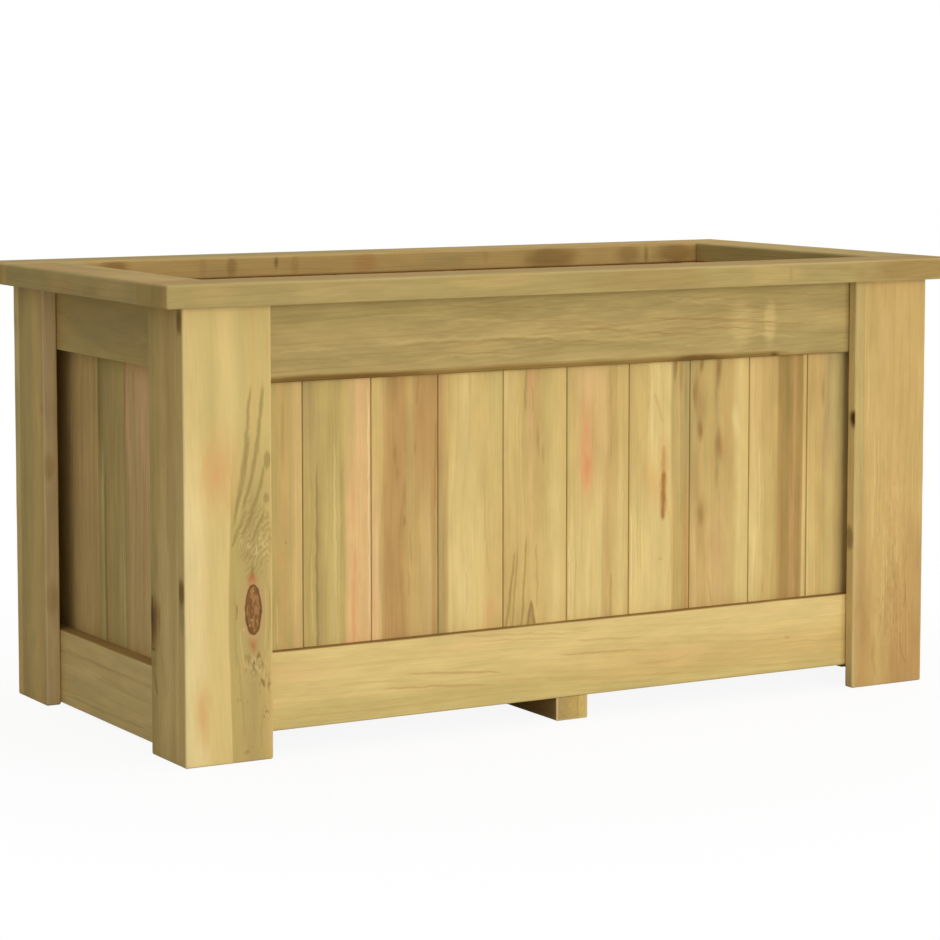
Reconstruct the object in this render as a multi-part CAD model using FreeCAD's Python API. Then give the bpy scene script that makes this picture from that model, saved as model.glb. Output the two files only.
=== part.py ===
import FreeCAD, Part
import os

# Raised planter of treated pine. Millimetres, +Z up, origin on the floor under the centre.
# The front faces -Y and the long side runs along X.

# Overall sizes, over the rim and down to the floor
planter_length = 1000.0
planter_depth = 504.0
planter_height = 496.0

# Wall slats, tongued and grooved, filling the walls between the corner posts
front_slat_count = 10
side_slat_count = 4
slat_thickness = 12.0
slat_vee = 1.2
tongue_thickness = 4.0
tongue_length = 4.0
groove_side_clearance = 0.3
groove_end_clearance = 0.5

# Corner posts inside the walls
post_width_x = 31.5
post_width_y = 53.5

# Rails outside the slats. Those of the two ends hang lower, and their top rail is narrower.
rail_width = 83.0
front_rail_thickness = 12.0
side_rail_thickness = 18.0
rail_ground_gap = 25.5
end_rail_ground_gap = 2.5
end_top_rail_width = 71.0
rail_arris = 1.5

# Legs: a face board and a side board butted behind it
leg_face_width = 100.0
leg_face_thickness = 15.0
leg_side_width = 69.5
leg_side_thickness = 18.0
leg_arris = 2.5

# Rim boards laid flat on the walls
rim_width = 73.0
rim_thickness = 24.0
rim_overhang_end = 27.5
rim_overhang_face = 24.5
rim_arris = 2.5

# Floor and what carries it
bearer_width = 40.0
bearer_height = 26.5
ledger_drop = 8.0
bearer_arris = 2.0
floor_board_count = 5
floor_board_gap = 4.0
floor_board_thickness = 15.0
floor_end_clearance = 2.0
floor_arris = 1.5

# Countersunk screws: shank diameter, length, head diameter. The share places the screws of a leg in
# the width of a long rail, the inset is their way from the slat side of an end rail, and the bite is
# how far a frame screw enters the last board.
frame_screw = {"shank": 4.5, "length": 55.0, "head": 8.6}
slat_screw = {"shank": 3.0, "length": 20.0, "head": 5.8}
floor_screw = {"shank": 3.5, "length": 35.0, "head": 6.8}
screw_clearance = 0.1
frame_screw_bite = 9.0
end_screw_inset = 22.0
face_screw_share = 0.7

# Hidden dowels between the top rails and the rim
dowel_diameter = 6.0
dowel_length = 36.0
dowel_depth_in_rim = 13.0
dowel_side_clearance = 0.1
dowel_end_clearance = 0.6
dowels_per_long_side = 3
dowels_per_short_side = 2
dowel_spacing_long = 300.0
dowel_spacing_short = 200.0

# Half sizes, worked inwards from the rim to the slats
rim_half_x = planter_length / 2
rim_half_y = planter_depth / 2
leg_half_x = rim_half_x - rim_overhang_end
leg_half_y = rim_half_y - rim_overhang_face
side_rail_outer = leg_half_x - leg_side_thickness
front_rail_outer = leg_half_y - leg_face_thickness
side_wall_outer = side_rail_outer - side_rail_thickness
front_wall_outer = front_rail_outer - front_rail_thickness
side_wall_inner = side_wall_outer - slat_thickness
front_wall_inner = front_wall_outer - slat_thickness
slat_half_x = side_wall_outer - post_width_x
slat_half_y = front_wall_outer - post_width_y
front_slat_cover = 2 * slat_half_x / front_slat_count
side_slat_cover = 2 * slat_half_y / side_slat_count

# Heights
leg_height = planter_height - rim_thickness
long_rails = {
    "bottom": (rail_ground_gap, rail_ground_gap + rail_width),
    "top": (leg_height - rail_width, leg_height),
}
end_rails = {
    "bottom": (end_rail_ground_gap, end_rail_ground_gap + rail_width),
    "top": (leg_height - end_top_rail_width, leg_height),
}
end_screw_heights = {
    "bottom": end_rails["bottom"][1] - end_screw_inset,
    "top": end_rails["top"][0] + end_screw_inset,
}
slat_screw_heights = [(low + high) / 2 for low, high in long_rails.values()]
ledger_bottom = rail_ground_gap - ledger_drop
floor_level = ledger_bottom + bearer_height
floor_top = floor_level + floor_board_thickness

up = FreeCAD.Vector(0, 0, 1)
corners = {
    "front_left": (-1, -1),
    "front_right": (1, -1),
    "back_left": (-1, 1),
    "back_right": (1, 1),
}


# A square-cornered block between two values on each axis, given in any order
def block(x_ends, y_ends, z_ends):
    low = [min(ends) for ends in (x_ends, y_ends, z_ends)]
    size = [max(ends) - min(ends) for ends in (x_ends, y_ends, z_ends)]
    return Part.makeBox(*size, FreeCAD.Vector(*low))


# A planed board: a block with its long edges rounded along the named axis
def board(x_ends, y_ends, z_ends, grain, arris):
    solid = block(x_ends, y_ends, z_ends)
    direction = {"x": (1, 0, 0), "y": (0, 1, 0), "z": (0, 0, 1)}[grain]
    along = FreeCAD.Vector(*direction)
    edges = [edge for edge in solid.Edges if abs(edge.tangentAt(edge.FirstParameter).dot(along)) > 0.99]
    return solid.makeFillet(arris, edges)


# A countersunk screw whose head is flush at the start point; grow widens only the shank
def screw(size, start, direction, grow=0.0):
    axis = FreeCAD.Vector(*direction)
    head_height = (size["head"] - size["shank"]) / 2
    radius = size["shank"] / 2
    cone = Part.makeCone(size["head"] / 2, radius, head_height, start, axis)
    shank_start = start + axis * head_height
    shank = Part.makeCylinder(radius + grow, size["length"] - head_height, shank_start, axis)
    return cone.fuse(shank).removeSplitter()


# The hole that a screw takes, with the bore that lets its head in when it is set deep
def screw_hole(size, start, direction, sunk=0.0):
    hole = screw(size, start, direction, screw_clearance)
    if sunk > 0:
        axis = FreeCAD.Vector(*direction)
        bore = Part.makeCylinder(size["head"] / 2, sunk, start - axis * sunk, axis)
        hole = hole.fuse(bore)
    return hole


def cut_all(solid, holes):
    near = [hole for hole in holes if hole.BoundBox.intersect(solid.BoundBox)]
    if not near:
        return solid
    return solid.cut(near)


nodes = {}
frame_screws = []
frame_holes = []
slat_screws = []
slat_holes = []
floor_screws = []
floor_holes = []
dowels = []
dowel_holes = []


def add_screw(size, solids, holes, start, direction, sunk=0.0):
    point = FreeCAD.Vector(*start)
    solids.append(screw(size, point, direction))
    holes.append(screw_hole(size, point, direction, sunk))


# A frame screw set below the face it enters at, so that its tip bites into the last board
def add_frame_screw(entry, last_face, place, direction):
    start = max(last_face + frame_screw_bite - frame_screw["length"], entry)
    add_screw(frame_screw, frame_screws, frame_holes, place(start), direction, start - entry)


# Through each post into the leg boards, at both rails
for sx, sy in corners.values():
    post_middle_x = sx * (slat_half_x + post_width_x / 2)
    post_middle_y = sy * (slat_half_y + post_width_y / 2)
    for level, (bottom, top) in long_rails.items():
        z_end = end_screw_heights[level]
        z_face = bottom + (top - bottom) * face_screw_share
        add_frame_screw(slat_half_x, side_rail_outer,
                        lambda start: (sx * start, post_middle_y, z_end), (sx, 0, 0))
        add_frame_screw(slat_half_y, front_rail_outer,
                        lambda start: (post_middle_x, sy * start, z_face), (0, sy, 0))

# Through each end ledger and its outer slats into the side rail
ledger_inner = side_wall_inner - bearer_width
ledger_screw_y = slat_half_y - side_slat_cover / 2
ledger_screw_z = (rail_ground_gap + floor_level) / 2
for sx in (-1, 1):
    for sy in (-1, 1):
        add_frame_screw(ledger_inner, side_wall_outer,
                        lambda start: (sx * start, sy * ledger_screw_y, ledger_screw_z), (sx, 0, 0))

# Floor screws through each board into the ledgers and the centre bearer
floor_half_x = slat_half_x - floor_end_clearance
floor_span = 2 * front_wall_inner - floor_board_gap * (floor_board_count + 1)
floor_board_width = floor_span / floor_board_count
floor_pitch = floor_board_width + floor_board_gap
floor_centres = [(i - (floor_board_count - 1) / 2) * floor_pitch for i in range(floor_board_count)]
floor_screw_end = (ledger_inner + floor_half_x) / 2
for centre in floor_centres:
    for x in (-floor_screw_end, 0.0, floor_screw_end):
        add_screw(floor_screw, floor_screws, floor_holes, (x, centre, floor_top), (0, 0, -1))

# Dowels standing in the top rails, with their holes in rail and rim
dowel_bottom = leg_height + dowel_depth_in_rim - dowel_length
front_rail_middle = front_wall_outer + front_rail_thickness / 2
side_rail_middle = side_wall_outer + side_rail_thickness / 2
dowel_points = []
for i in range(dowels_per_long_side):
    x = (i - (dowels_per_long_side - 1) / 2) * dowel_spacing_long
    dowel_points += [(x, -front_rail_middle), (x, front_rail_middle)]
for i in range(dowels_per_short_side):
    y = (i - (dowels_per_short_side - 1) / 2) * dowel_spacing_short
    dowel_points += [(-side_rail_middle, y), (side_rail_middle, y)]
for x, y in dowel_points:
    foot = FreeCAD.Vector(x, y, dowel_bottom)
    dowels.append(Part.makeCylinder(dowel_diameter / 2, dowel_length, foot, up))
    hole_radius = dowel_diameter / 2 + dowel_side_clearance
    dowel_holes.append(Part.makeCylinder(hole_radius, dowel_length + dowel_end_clearance, foot, up))


# One slat in its wall's own axes: width along X from the wall's middle, outer face at Y = 0, inside at +Y
def slat_profile(left, cover, has_groove, has_tongue):
    right = left + cover
    middle = slat_thickness / 2
    tongue_half = tongue_thickness / 2
    groove_half = tongue_half + groove_side_clearance
    groove_depth = tongue_length + groove_end_clearance
    points = [(left, slat_vee), (left + slat_vee, 0), (right - slat_vee, 0), (right, slat_vee)]
    if has_tongue:
        points += [
            (right, middle - tongue_half),
            (right + tongue_length, middle - tongue_half),
            (right + tongue_length, middle + tongue_half),
            (right, middle + tongue_half),
        ]
    points += [(right, slat_thickness), (left, slat_thickness)]
    if has_groove:
        points += [
            (left, middle + groove_half),
            (left + groove_depth, middle + groove_half),
            (left + groove_depth, middle - groove_half),
            (left, middle - groove_half),
        ]
    return points


# A wall of slats, turned about the origin so that its outer face looks the right way
def slat_wall(side, turn, outer, count, cover):
    for i in range(count):
        left = (i - count / 2) * cover
        points = slat_profile(left, cover, i > 0, i < count - 1)
        corners_3d = [FreeCAD.Vector(x, y - outer, rail_ground_gap) for x, y in points]
        face = Part.Face(Part.makePolygon(corners_3d + corners_3d[:1]))
        slat = face.extrude(up * (leg_height - rail_ground_gap))
        slat.rotate(FreeCAD.Vector(0, 0, 0), up, turn)
        for height in slat_screw_heights:
            start = FreeCAD.Vector(left + cover / 2, slat_thickness - outer, height)
            turned = FreeCAD.Rotation(up, turn)
            inward_start = turned.multVec(start)
            outward = turned.multVec(FreeCAD.Vector(0, -1, 0))
            add_screw(slat_screw, slat_screws, slat_holes, tuple(inward_start), tuple(outward))
        nodes["slat_%s_%02d" % (side, i + 1)] = slat


slat_wall("front", 0, front_wall_outer, front_slat_count, front_slat_cover)
slat_wall("right", 90, side_wall_outer, side_slat_count, side_slat_cover)
slat_wall("back", 180, front_wall_outer, front_slat_count, front_slat_cover)
slat_wall("left", 270, side_wall_outer, side_slat_count, side_slat_cover)

# Corner posts and the two boards of each leg
for name, (sx, sy) in corners.items():
    nodes["post_" + name] = block(
        (sx * slat_half_x, sx * side_wall_outer),
        (sy * slat_half_y, sy * front_wall_outer),
        (floor_level, leg_height))
    nodes["leg_%s_face" % name] = board(
        (sx * (leg_half_x - leg_face_width), sx * leg_half_x),
        (sy * front_rail_outer, sy * leg_half_y),
        (0, leg_height), "z", leg_arris)
    nodes["leg_%s_side" % name] = board(
        (sx * side_rail_outer, sx * leg_half_x),
        (sy * front_rail_outer, sy * (front_rail_outer - leg_side_width)),
        (0, leg_height), "z", leg_arris)

# Rails: the long ones reach the side boards of the legs, the short ones fit between the long ones
for level in long_rails:
    for side, sy in (("front", -1), ("back", 1)):
        nodes["rail_%s_%s" % (side, level)] = board(
            (-side_rail_outer, side_rail_outer),
            (sy * front_wall_outer, sy * front_rail_outer),
            long_rails[level], "x", rail_arris)
    for side, sx in (("left", -1), ("right", 1)):
        nodes["rail_%s_%s" % (side, level)] = board(
            (sx * side_wall_outer, sx * side_rail_outer),
            (-front_wall_outer, front_wall_outer),
            end_rails[level], "y", rail_arris)

# Rim: the long boards run through, the short ones butt between them
rim_heights = (leg_height, leg_height + rim_thickness)
for side, sy in (("front", -1), ("back", 1)):
    nodes["rim_%s_board" % side] = board(
        (-rim_half_x, rim_half_x),
        (sy * (rim_half_y - rim_width), sy * rim_half_y),
        rim_heights, "x", rim_arris)
for side, sx in (("left", -1), ("right", 1)):
    nodes["rim_%s_board" % side] = board(
        (sx * (rim_half_x - rim_width), sx * rim_half_x),
        (rim_width - rim_half_y, rim_half_y - rim_width),
        rim_heights, "y", rim_arris)

# End ledgers under the posts, and the centre bearer, notched at both ends to take the walls
for side, sx in (("left", -1), ("right", 1)):
    nodes["floor_ledger_" + side] = board(
        (sx * ledger_inner, sx * side_wall_inner),
        (-front_wall_inner, front_wall_inner),
        (ledger_bottom, floor_level), "y", bearer_arris)
bearer = board(
    (-bearer_width / 2, bearer_width / 2),
    (-front_rail_outer, front_rail_outer),
    (0, floor_level), "y", bearer_arris)
notches = [
    block((-bearer_width, bearer_width),
          (sy * front_wall_inner, sy * (front_rail_outer + bearer_width)),
          (rail_ground_gap, floor_level + bearer_height))
    for sy in (-1, 1)
]
nodes["centre_bearer"] = bearer.cut(notches)

# Floor boards with drainage gaps between them
floor_boards = [
    board((-floor_half_x, floor_half_x),
          (centre - floor_board_width / 2, centre + floor_board_width / 2),
          (floor_level, floor_top), "x", floor_arris)
    for centre in floor_centres
]

# Holes, then the groups of loose pieces
all_holes = frame_holes + slat_holes + floor_holes + dowel_holes
nodes = {name: cut_all(solid, all_holes) for name, solid in nodes.items()}
nodes["floor_boards"] = Part.makeCompound([cut_all(solid, floor_holes) for solid in floor_boards])
nodes["frame_screws"] = Part.makeCompound(frame_screws)
nodes["slat_screws"] = Part.makeCompound(slat_screws)
nodes["floor_screws"] = Part.makeCompound(floor_screws)
nodes["rim_dowels"] = Part.makeCompound(dowels)

os.makedirs("parts", exist_ok=True)
for name, shape in nodes.items():
    shape.exportStep("parts/%s.step" % name)

whole = Part.makeCompound(list(nodes.values())).BoundBox
print("%d nodes, %.1f x %.1f x %.1f mm" % (len(nodes), whole.XLength, whole.YLength, whole.ZLength))
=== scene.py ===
import math

import bpy
import numpy as np
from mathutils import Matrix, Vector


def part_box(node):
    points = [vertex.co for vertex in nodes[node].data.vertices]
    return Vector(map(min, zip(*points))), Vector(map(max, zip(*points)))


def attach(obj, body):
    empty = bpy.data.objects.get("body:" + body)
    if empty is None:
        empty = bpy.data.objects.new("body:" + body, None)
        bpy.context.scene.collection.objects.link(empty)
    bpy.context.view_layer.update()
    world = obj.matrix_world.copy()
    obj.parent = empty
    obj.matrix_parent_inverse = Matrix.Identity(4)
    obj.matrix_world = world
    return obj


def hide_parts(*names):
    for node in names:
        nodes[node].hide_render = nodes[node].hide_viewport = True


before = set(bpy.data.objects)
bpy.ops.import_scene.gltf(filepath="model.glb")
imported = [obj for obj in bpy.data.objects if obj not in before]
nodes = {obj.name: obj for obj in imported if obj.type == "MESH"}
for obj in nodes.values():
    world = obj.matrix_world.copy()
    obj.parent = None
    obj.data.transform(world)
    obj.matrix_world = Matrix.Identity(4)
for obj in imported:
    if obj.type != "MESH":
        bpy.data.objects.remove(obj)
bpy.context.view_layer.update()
mm = 0.001
endless = 1e6  # half size, in millimetres, of a mark that goes right through the board
sharpAngle = math.radians(40)  # steeper edges than this stay crisp
axisIndex = {"x": 0, "y": 1, "z": 2}
print("frame loaded:", len(nodes), "nodes")

# tones of pressure-treated pine, as screen colours
tones = {
    "cream": (228, 204, 142), "straw": (217, 190, 124), "yellowTan": (206, 176, 110), "tan": (196, 164, 102),
    "khaki": (190, 165, 101), "oliveTan": (179, 155, 98), "olive": (168, 148, 92), "moss": (148, 127, 70),
    "peach": (224, 184, 128), "salmon": (220, 146, 98), "pinkTan": (200, 158, 108), "brown": (184, 146, 90),
    "umber": (150, 116, 64), "rust": (178, 102, 56), "bark": (92, 62, 26), "grey": (180, 156, 104),
    "pale": (238, 220, 168), "sedge": (203, 180, 114), "knotHeart": (158, 112, 66), "knotRim": (104, 66, 30),
    "drab": (164, 133, 76), "buff": (207, 174, 114), "amber": (210, 158, 94), "darkEdge": (134, 104, 48),
    "ochre": (160, 112, 54), "apricot": (219, 179, 121),
}


def toneColour(name):
    # screen colour to linear light by the standard curve: straight near black, a power above
    screen = np.array(tones[name]) / 255
    linear = np.where(screen <= 0.04045, screen / 12.92, ((screen + 0.055) / 1.055) ** 2.4)
    return (*linear.tolist(), 1.0)


# node helpers: a term that is a socket is linked, any other is written on the input
def setInput(tree, socket, term):
    if isinstance(term, bpy.types.NodeSocket):
        tree.links.new(term, socket)
    elif term is not None:
        socket.default_value = term


def addNode(tree, kind, terms=(), **options):
    node = tree.nodes.new(kind)
    for option, value in options.items():
        setattr(node, option, value)
    for key, term in (terms.items() if isinstance(terms, dict) else enumerate(terms)):
        setInput(tree, node.inputs[key], term)
    return node


def calc(tree, operation, *terms, clamp=False):
    return addNode(tree, "ShaderNodeMath", terms, operation=operation, use_clamp=clamp).outputs[0]


def vectorCalc(tree, operation, *terms):
    return addNode(tree, "ShaderNodeVectorMath", terms, operation=operation).outputs["Vector"]


def vectorLength(tree, term):
    return addNode(tree, "ShaderNodeVectorMath", (term,), operation="LENGTH").outputs["Value"]


def scaledBy(tree, vector, factor):
    terms = {0: vector, "Scale": factor}
    return addNode(tree, "ShaderNodeVectorMath", terms, operation="SCALE").outputs["Vector"]


def parts(tree, vector):
    return addNode(tree, "ShaderNodeSeparateXYZ", (vector,)).outputs


def smooth(tree, value, start, end, low=0.0, high=1.0):
    terms = {"Value": value, "From Min": start, "From Max": end, "To Min": low, "To Max": high}
    return addNode(tree, "ShaderNodeMapRange", terms, interpolation_type="SMOOTHSTEP").outputs["Result"]


def mixColour(tree, factor, first, second, blend="MIX"):
    terms = {0: factor, 6: first, 7: second}
    return addNode(tree, "ShaderNodeMix", terms, data_type="RGBA", blend_type=blend).outputs[2]


def laidOver(tree, colour, mask, strength, tone):
    # a tone over a colour, as much as mask * strength says
    return mixColour(tree, calc(tree, "MULTIPLY", mask, strength), colour, toneColour(tone))


def noise(tree, place, stretch, detail=2.0, roughness=0.5, output="Fac"):
    place = vectorCalc(tree, "MULTIPLY", place, stretch)
    terms = {"Vector": place, "Scale": 1.0, "Detail": detail, "Roughness": roughness}
    return addNode(tree, "ShaderNodeTexNoise", terms).outputs[output]


def centredNoise(tree, place, stretch):
    # noise shifted to run about zero
    return calc(tree, "SUBTRACT", noise(tree, place, stretch), 0.5)


def newGroup(name, vectors, numbers, outNumbers, outVectors=()):
    tree = bpy.data.node_groups.new(name, "ShaderNodeTree")
    sockets = [("INPUT", "Vector", vectors), ("INPUT", "Float", numbers),
               ("OUTPUT", "Vector", outVectors), ("OUTPUT", "Float", outNumbers)]
    for side, kind, labels in sockets:
        for label in labels:
            tree.interface.new_socket(label, in_out=side, socket_type="NodeSocket" + kind)
    return tree, tree.nodes.new("NodeGroupInput").outputs, tree.nodes.new("NodeGroupOutput").inputs


def groupNode(tree, group, terms):
    node = tree.nodes.new("ShaderNodeGroup")
    node.node_tree = group
    for key, term in terms.items():
        setInput(tree, node.inputs[key], term)
    return node


def newMaterial(name):
    material = bpy.data.materials.new(name)
    material.use_nodes = True
    material.node_tree.nodes.clear()
    return material, material.node_tree


# places in a pine material are (across, along, depth) of the board, in millimetres of the planter;
# a noise is set by its stretch, or by (stretch, detail, roughness)
grainSettings = {
    "drift": ((0.004, 0.0042, 0.004), 1.0), "ripple": ((0.03, 0.011, 0.03), 2.0), "rippleReach": 2.2,
    "fibre": ((0.75, 0.012, 0.75), 3.0, 0.6), "hair": ((1.1, 0.014, 1.1), 2.0, 0.6),
    "hairRange": (0.56, 0.74), "blotch": ((0.026, 0.006, 0.026), 2.0, 0.5),
    "mottle": ((0.06, 0.014, 0.06), 3.0, 0.6), "latewood": 2.6, "yearDepth": (0.75, 0.25),
}


def makeGrainGroup(s):
    # ring = fraction of (distance from a drifting, leaning pith line / spacing), to a power,
    # times a depth that each year draws for itself
    tree, inlet, outlet = newGroup(
        "pineGrain", ["Place", "Pith", "Lean"], ["Spacing", "Drift"],
        ["Ring", "Fibre", "Hair", "Blotch", "Mottle"])
    place = inlet["Place"]
    half = (0.5, 0.5, 0.5)
    drift = vectorCalc(tree, "SUBTRACT", noise(tree, place, *s["drift"], output="Color"), half)
    ripple = vectorCalc(tree, "SUBTRACT", noise(tree, place, *s["ripple"], output="Color"), half)
    along = parts(tree, place)[1]
    away = vectorCalc(tree, "SUBTRACT", place, inlet["Pith"])
    away = vectorCalc(tree, "SUBTRACT", away, scaledBy(tree, inlet["Lean"], along))
    away = vectorCalc(tree, "ADD", away, scaledBy(tree, drift, inlet["Drift"]))
    away = vectorCalc(tree, "ADD", away, scaledBy(tree, ripple, s["rippleReach"]))
    distance = vectorLength(tree, vectorCalc(tree, "MULTIPLY", away, (1, 0, 1)))
    turns = calc(tree, "DIVIDE", distance, inlet["Spacing"])
    fraction = calc(tree, "FRACT", turns)
    year = {"W": calc(tree, "FLOOR", turns)}
    depth = addNode(tree, "ShaderNodeTexWhiteNoise", year, noise_dimensions="1D").outputs["Value"]
    depth = calc(tree, "MULTIPLY_ADD", depth, *s["yearDepth"])
    ring = calc(tree, "MULTIPLY", calc(tree, "POWER", fraction, s["latewood"]), depth)
    tree.links.new(ring, outlet["Ring"])
    tree.links.new(noise(tree, place, *s["fibre"]), outlet["Fibre"])
    tree.links.new(noise(tree, place, *s["blotch"]), outlet["Blotch"])
    tree.links.new(noise(tree, place, *s["mottle"]), outlet["Mottle"])
    tree.links.new(smooth(tree, noise(tree, place, *s["hair"]), *s["hairRange"]), outlet["Hair"])
    return tree


spotSettings = {"ragged": (0.14, 0.035, 0.03), "raggedShare": 0.7}


def makeSpotGroup(s):
    # mask = 1 in the core of a turned oval, fading to 0 at its ragged edge
    tree, inlet, outlet = newGroup("softSpot", ["Place", "Centre", "Size"], ["Turn", "Core"], ["Mask"])
    terms = {"Vector": inlet["Place"], "Center": inlet["Centre"], "Angle": inlet["Turn"]}
    turned = addNode(tree, "ShaderNodeVectorRotate", terms, rotation_type="Z_AXIS").outputs[0]
    away = vectorCalc(tree, "SUBTRACT", turned, inlet["Centre"])
    reach = vectorLength(tree, vectorCalc(tree, "DIVIDE", away, inlet["Size"]))
    ragged = centredNoise(tree, inlet["Place"], s["ragged"])
    reach = calc(tree, "MULTIPLY_ADD", ragged, s["raggedShare"], reach)
    tree.links.new(smooth(tree, reach, 1.0, inlet["Core"]), outlet["Mask"])
    return tree


knotSettings = {
    "bend": 0.85, "leastSlope": 0.0001, "ragged": (0.2, 0.12, 0.05), "raggedDepth": 3.4,
    "mark": ((0.24, 0.09, 0.05), 3.0, 0.65), "markRange": (0.42, 0.58), "markShare": 0.8,
    "fleck": ((0.3, 0.16, 0.05), 3.0, 0.6), "fleckRange": (0.61, 0.72), "fleckShare": 0.6, "fleckTone": "tan",
    "halo": (-10.0, -0.5, 0.0, 0.4), "edge": (-1.2, 0.6, 0.0, 0.92), "rimDepth": (1.0, 3.0),
}


def makeKnotGroup(s):
    # grain flows round an oval: across = centre + offset * (1 - bend / reach squared), reach 1 on the oval;
    # depth inside it in millimetres = (1 - reach) / slope of reach
    tree, inlet, outlet = newGroup(
        "knotFlow", ["Place", "Centre", "Size"], ["Bend"], ["Depth", "Mark", "Fleck"], ["Place"])
    place = inlet["Place"]
    away = vectorCalc(tree, "SUBTRACT", place, inlet["Centre"])
    scaled = vectorCalc(tree, "DIVIDE", away, inlet["Size"])
    reach = vectorLength(tree, scaled)
    square = calc(tree, "MAXIMUM", calc(tree, "MULTIPLY", reach, reach), 1.0)
    push = calc(tree, "DIVIDE", inlet["Bend"], square)
    shift = vectorCalc(tree, "MULTIPLY", scaledBy(tree, away, push), (1, 0, 0))
    tree.links.new(vectorCalc(tree, "SUBTRACT", place, shift), outlet["Place"])
    slope = vectorLength(tree, vectorCalc(tree, "DIVIDE", scaled, inlet["Size"]))
    slope = calc(tree, "MAXIMUM", slope, s["leastSlope"])
    depth = calc(tree, "MULTIPLY", calc(tree, "SUBTRACT", 1.0, reach), reach)
    depth = calc(tree, "DIVIDE", depth, slope)
    ragged = centredNoise(tree, place, s["ragged"])
    tree.links.new(calc(tree, "MULTIPLY_ADD", ragged, s["raggedDepth"], depth), outlet["Depth"])
    tree.links.new(smooth(tree, noise(tree, place, *s["mark"]), *s["markRange"]), outlet["Mark"])
    tree.links.new(smooth(tree, noise(tree, place, *s["fleck"]), *s["fleckRange"]), outlet["Fleck"])
    return tree


strokeSettings = {
    "widthShare": 1.5, "strengthShare": 0.8, "blunt": 0.35, "leastWidth": 0.01, "core": 0.1, "fade": 0.45,
    "ragged": (0.22, 0.06, 0.03), "raggedShare": 0.9, "wiggle": (0.05, 0.045, 0.02), "shake": 4.0,
}


def makeStrokeGroup(s):
    # mask of a fading line: its place across is a quadratic curve of the share along it, plus a wiggle
    tree, inlet, outlet = newGroup(
        "grainStroke", ["Place", "Start", "End"], ["Middle", "Width", "Ragged", "Wiggle"], ["Mask"])
    spot, start, end = (parts(tree, inlet[label]) for label in ("Place", "Start", "End"))
    span = calc(tree, "SUBTRACT", end[1], start[1])
    share = calc(tree, "DIVIDE", calc(tree, "SUBTRACT", spot[1], start[1]), span, clamp=True)

    def between(first, second):
        return calc(tree, "MULTIPLY_ADD", calc(tree, "SUBTRACT", second, first), share, first)

    line = between(between(start[0], inlet["Middle"]), between(inlet["Middle"], end[0]))
    taper = calc(tree, "MULTIPLY", share, calc(tree, "SUBTRACT", 1.0, share))
    taper = calc(tree, "MULTIPLY", taper, 4.0)  # 1 half way along, 0 at both ends
    width = calc(tree, "MULTIPLY", inlet["Width"], calc(tree, "POWER", taper, s["blunt"]))
    reach = calc(tree, "SUBTRACT", calc(tree, "ADD", spot[0], inlet["Wiggle"]), line)
    reach = calc(tree, "ABSOLUTE", reach)
    reach = calc(tree, "DIVIDE", reach, calc(tree, "MAXIMUM", width, s["leastWidth"]))
    reach = calc(tree, "MULTIPLY_ADD", inlet["Ragged"], s["raggedShare"], reach)
    mask = calc(tree, "MULTIPLY", smooth(tree, reach, 1.0, s["core"]), smooth(tree, taper, 0.0, s["fade"]))
    tree.links.new(mask, outlet["Mask"])
    return tree


curlSettings = {
    "roundPeak": 9.0, "bend": (0.15, 0.07, 0.02), "bendShare": 4.0, "line": (0.36, 0.08), "core": 0.4,
}


def makeCurlGroup(s):
    # nested peaks: fraction of (along + slope * distance from the peak line + waves) / spacing
    tree, inlet, outlet = newGroup("curlLines", ["Place"], ["Peak", "Slope", "Spacing", "Wave"], ["Line"])
    spot = parts(tree, inlet["Place"])
    aside = calc(tree, "SUBTRACT", spot[0], inlet["Peak"])
    aside = calc(tree, "SQRT", calc(tree, "MULTIPLY_ADD", aside, aside, s["roundPeak"]))
    bend = centredNoise(tree, inlet["Place"], s["bend"])
    lift = calc(tree, "MULTIPLY_ADD", bend, calc(tree, "MULTIPLY", inlet["Wave"], s["bendShare"]), spot[1])
    lift = calc(tree, "MULTIPLY_ADD", aside, inlet["Slope"], lift)
    turns = calc(tree, "FRACT", calc(tree, "DIVIDE", lift, inlet["Spacing"]))
    line = smooth(tree, calc(tree, "ABSOLUTE", calc(tree, "SUBTRACT", turns, 0.5)), *s["line"])
    tree.links.new(line, outlet["Line"])
    return tree


grainGroup = makeGrainGroup(grainSettings)
strokeGroup = makeStrokeGroup(strokeSettings)
curlGroup = makeCurlGroup(curlSettings)
spotGroup = makeSpotGroup(spotSettings)
knotGroup = makeKnotGroup(knotSettings)
print("grain groups: 5")

# what a board's look may say, and what it takes where it says nothing; its marks are
# spots (across, along, half across, half along, tone, strength, turn, core),
# strokes (start across, start along, middle across, end across, end along, width, tone, strength, shake),
# curls (across, along, half across, half along, peak, slope, spacing, wave, tone, strength),
# specks (across, along, half across, half along, size, tone, strength, length share),
# knots (across, along, half across, half along, tones of rim, heart and halo),
# edgeTones (side, tone, strength),
# edgeSpots (side, depth, along, half depth, half along, tone, strength)
plainLook = {
    "bands": [(0, "tan"), (1, "tan")], "farBands": None, "turnover": (0, 1), "wander": 5.0,
    "wanderStretch": 0.006, "pith": None, "lean": (0.0, 0.0), "spacing": 6.0, "ringDepth": 0.3, "drift": 14.0,
    "fibre": 0.09, "hair": 0.1, "mottle": 0.14, "blotch": ("olive", 0.14), "spots": [], "strokes": [],
    "lines": None, "curls": [], "specks": [], "knots": [], "edgeTones": [], "edgeSpots": [], "arris": 3.0,
    "arrisHighlightAndWear": 0.2, "seamPaintedShade": None, "seed": 0,
}
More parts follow.
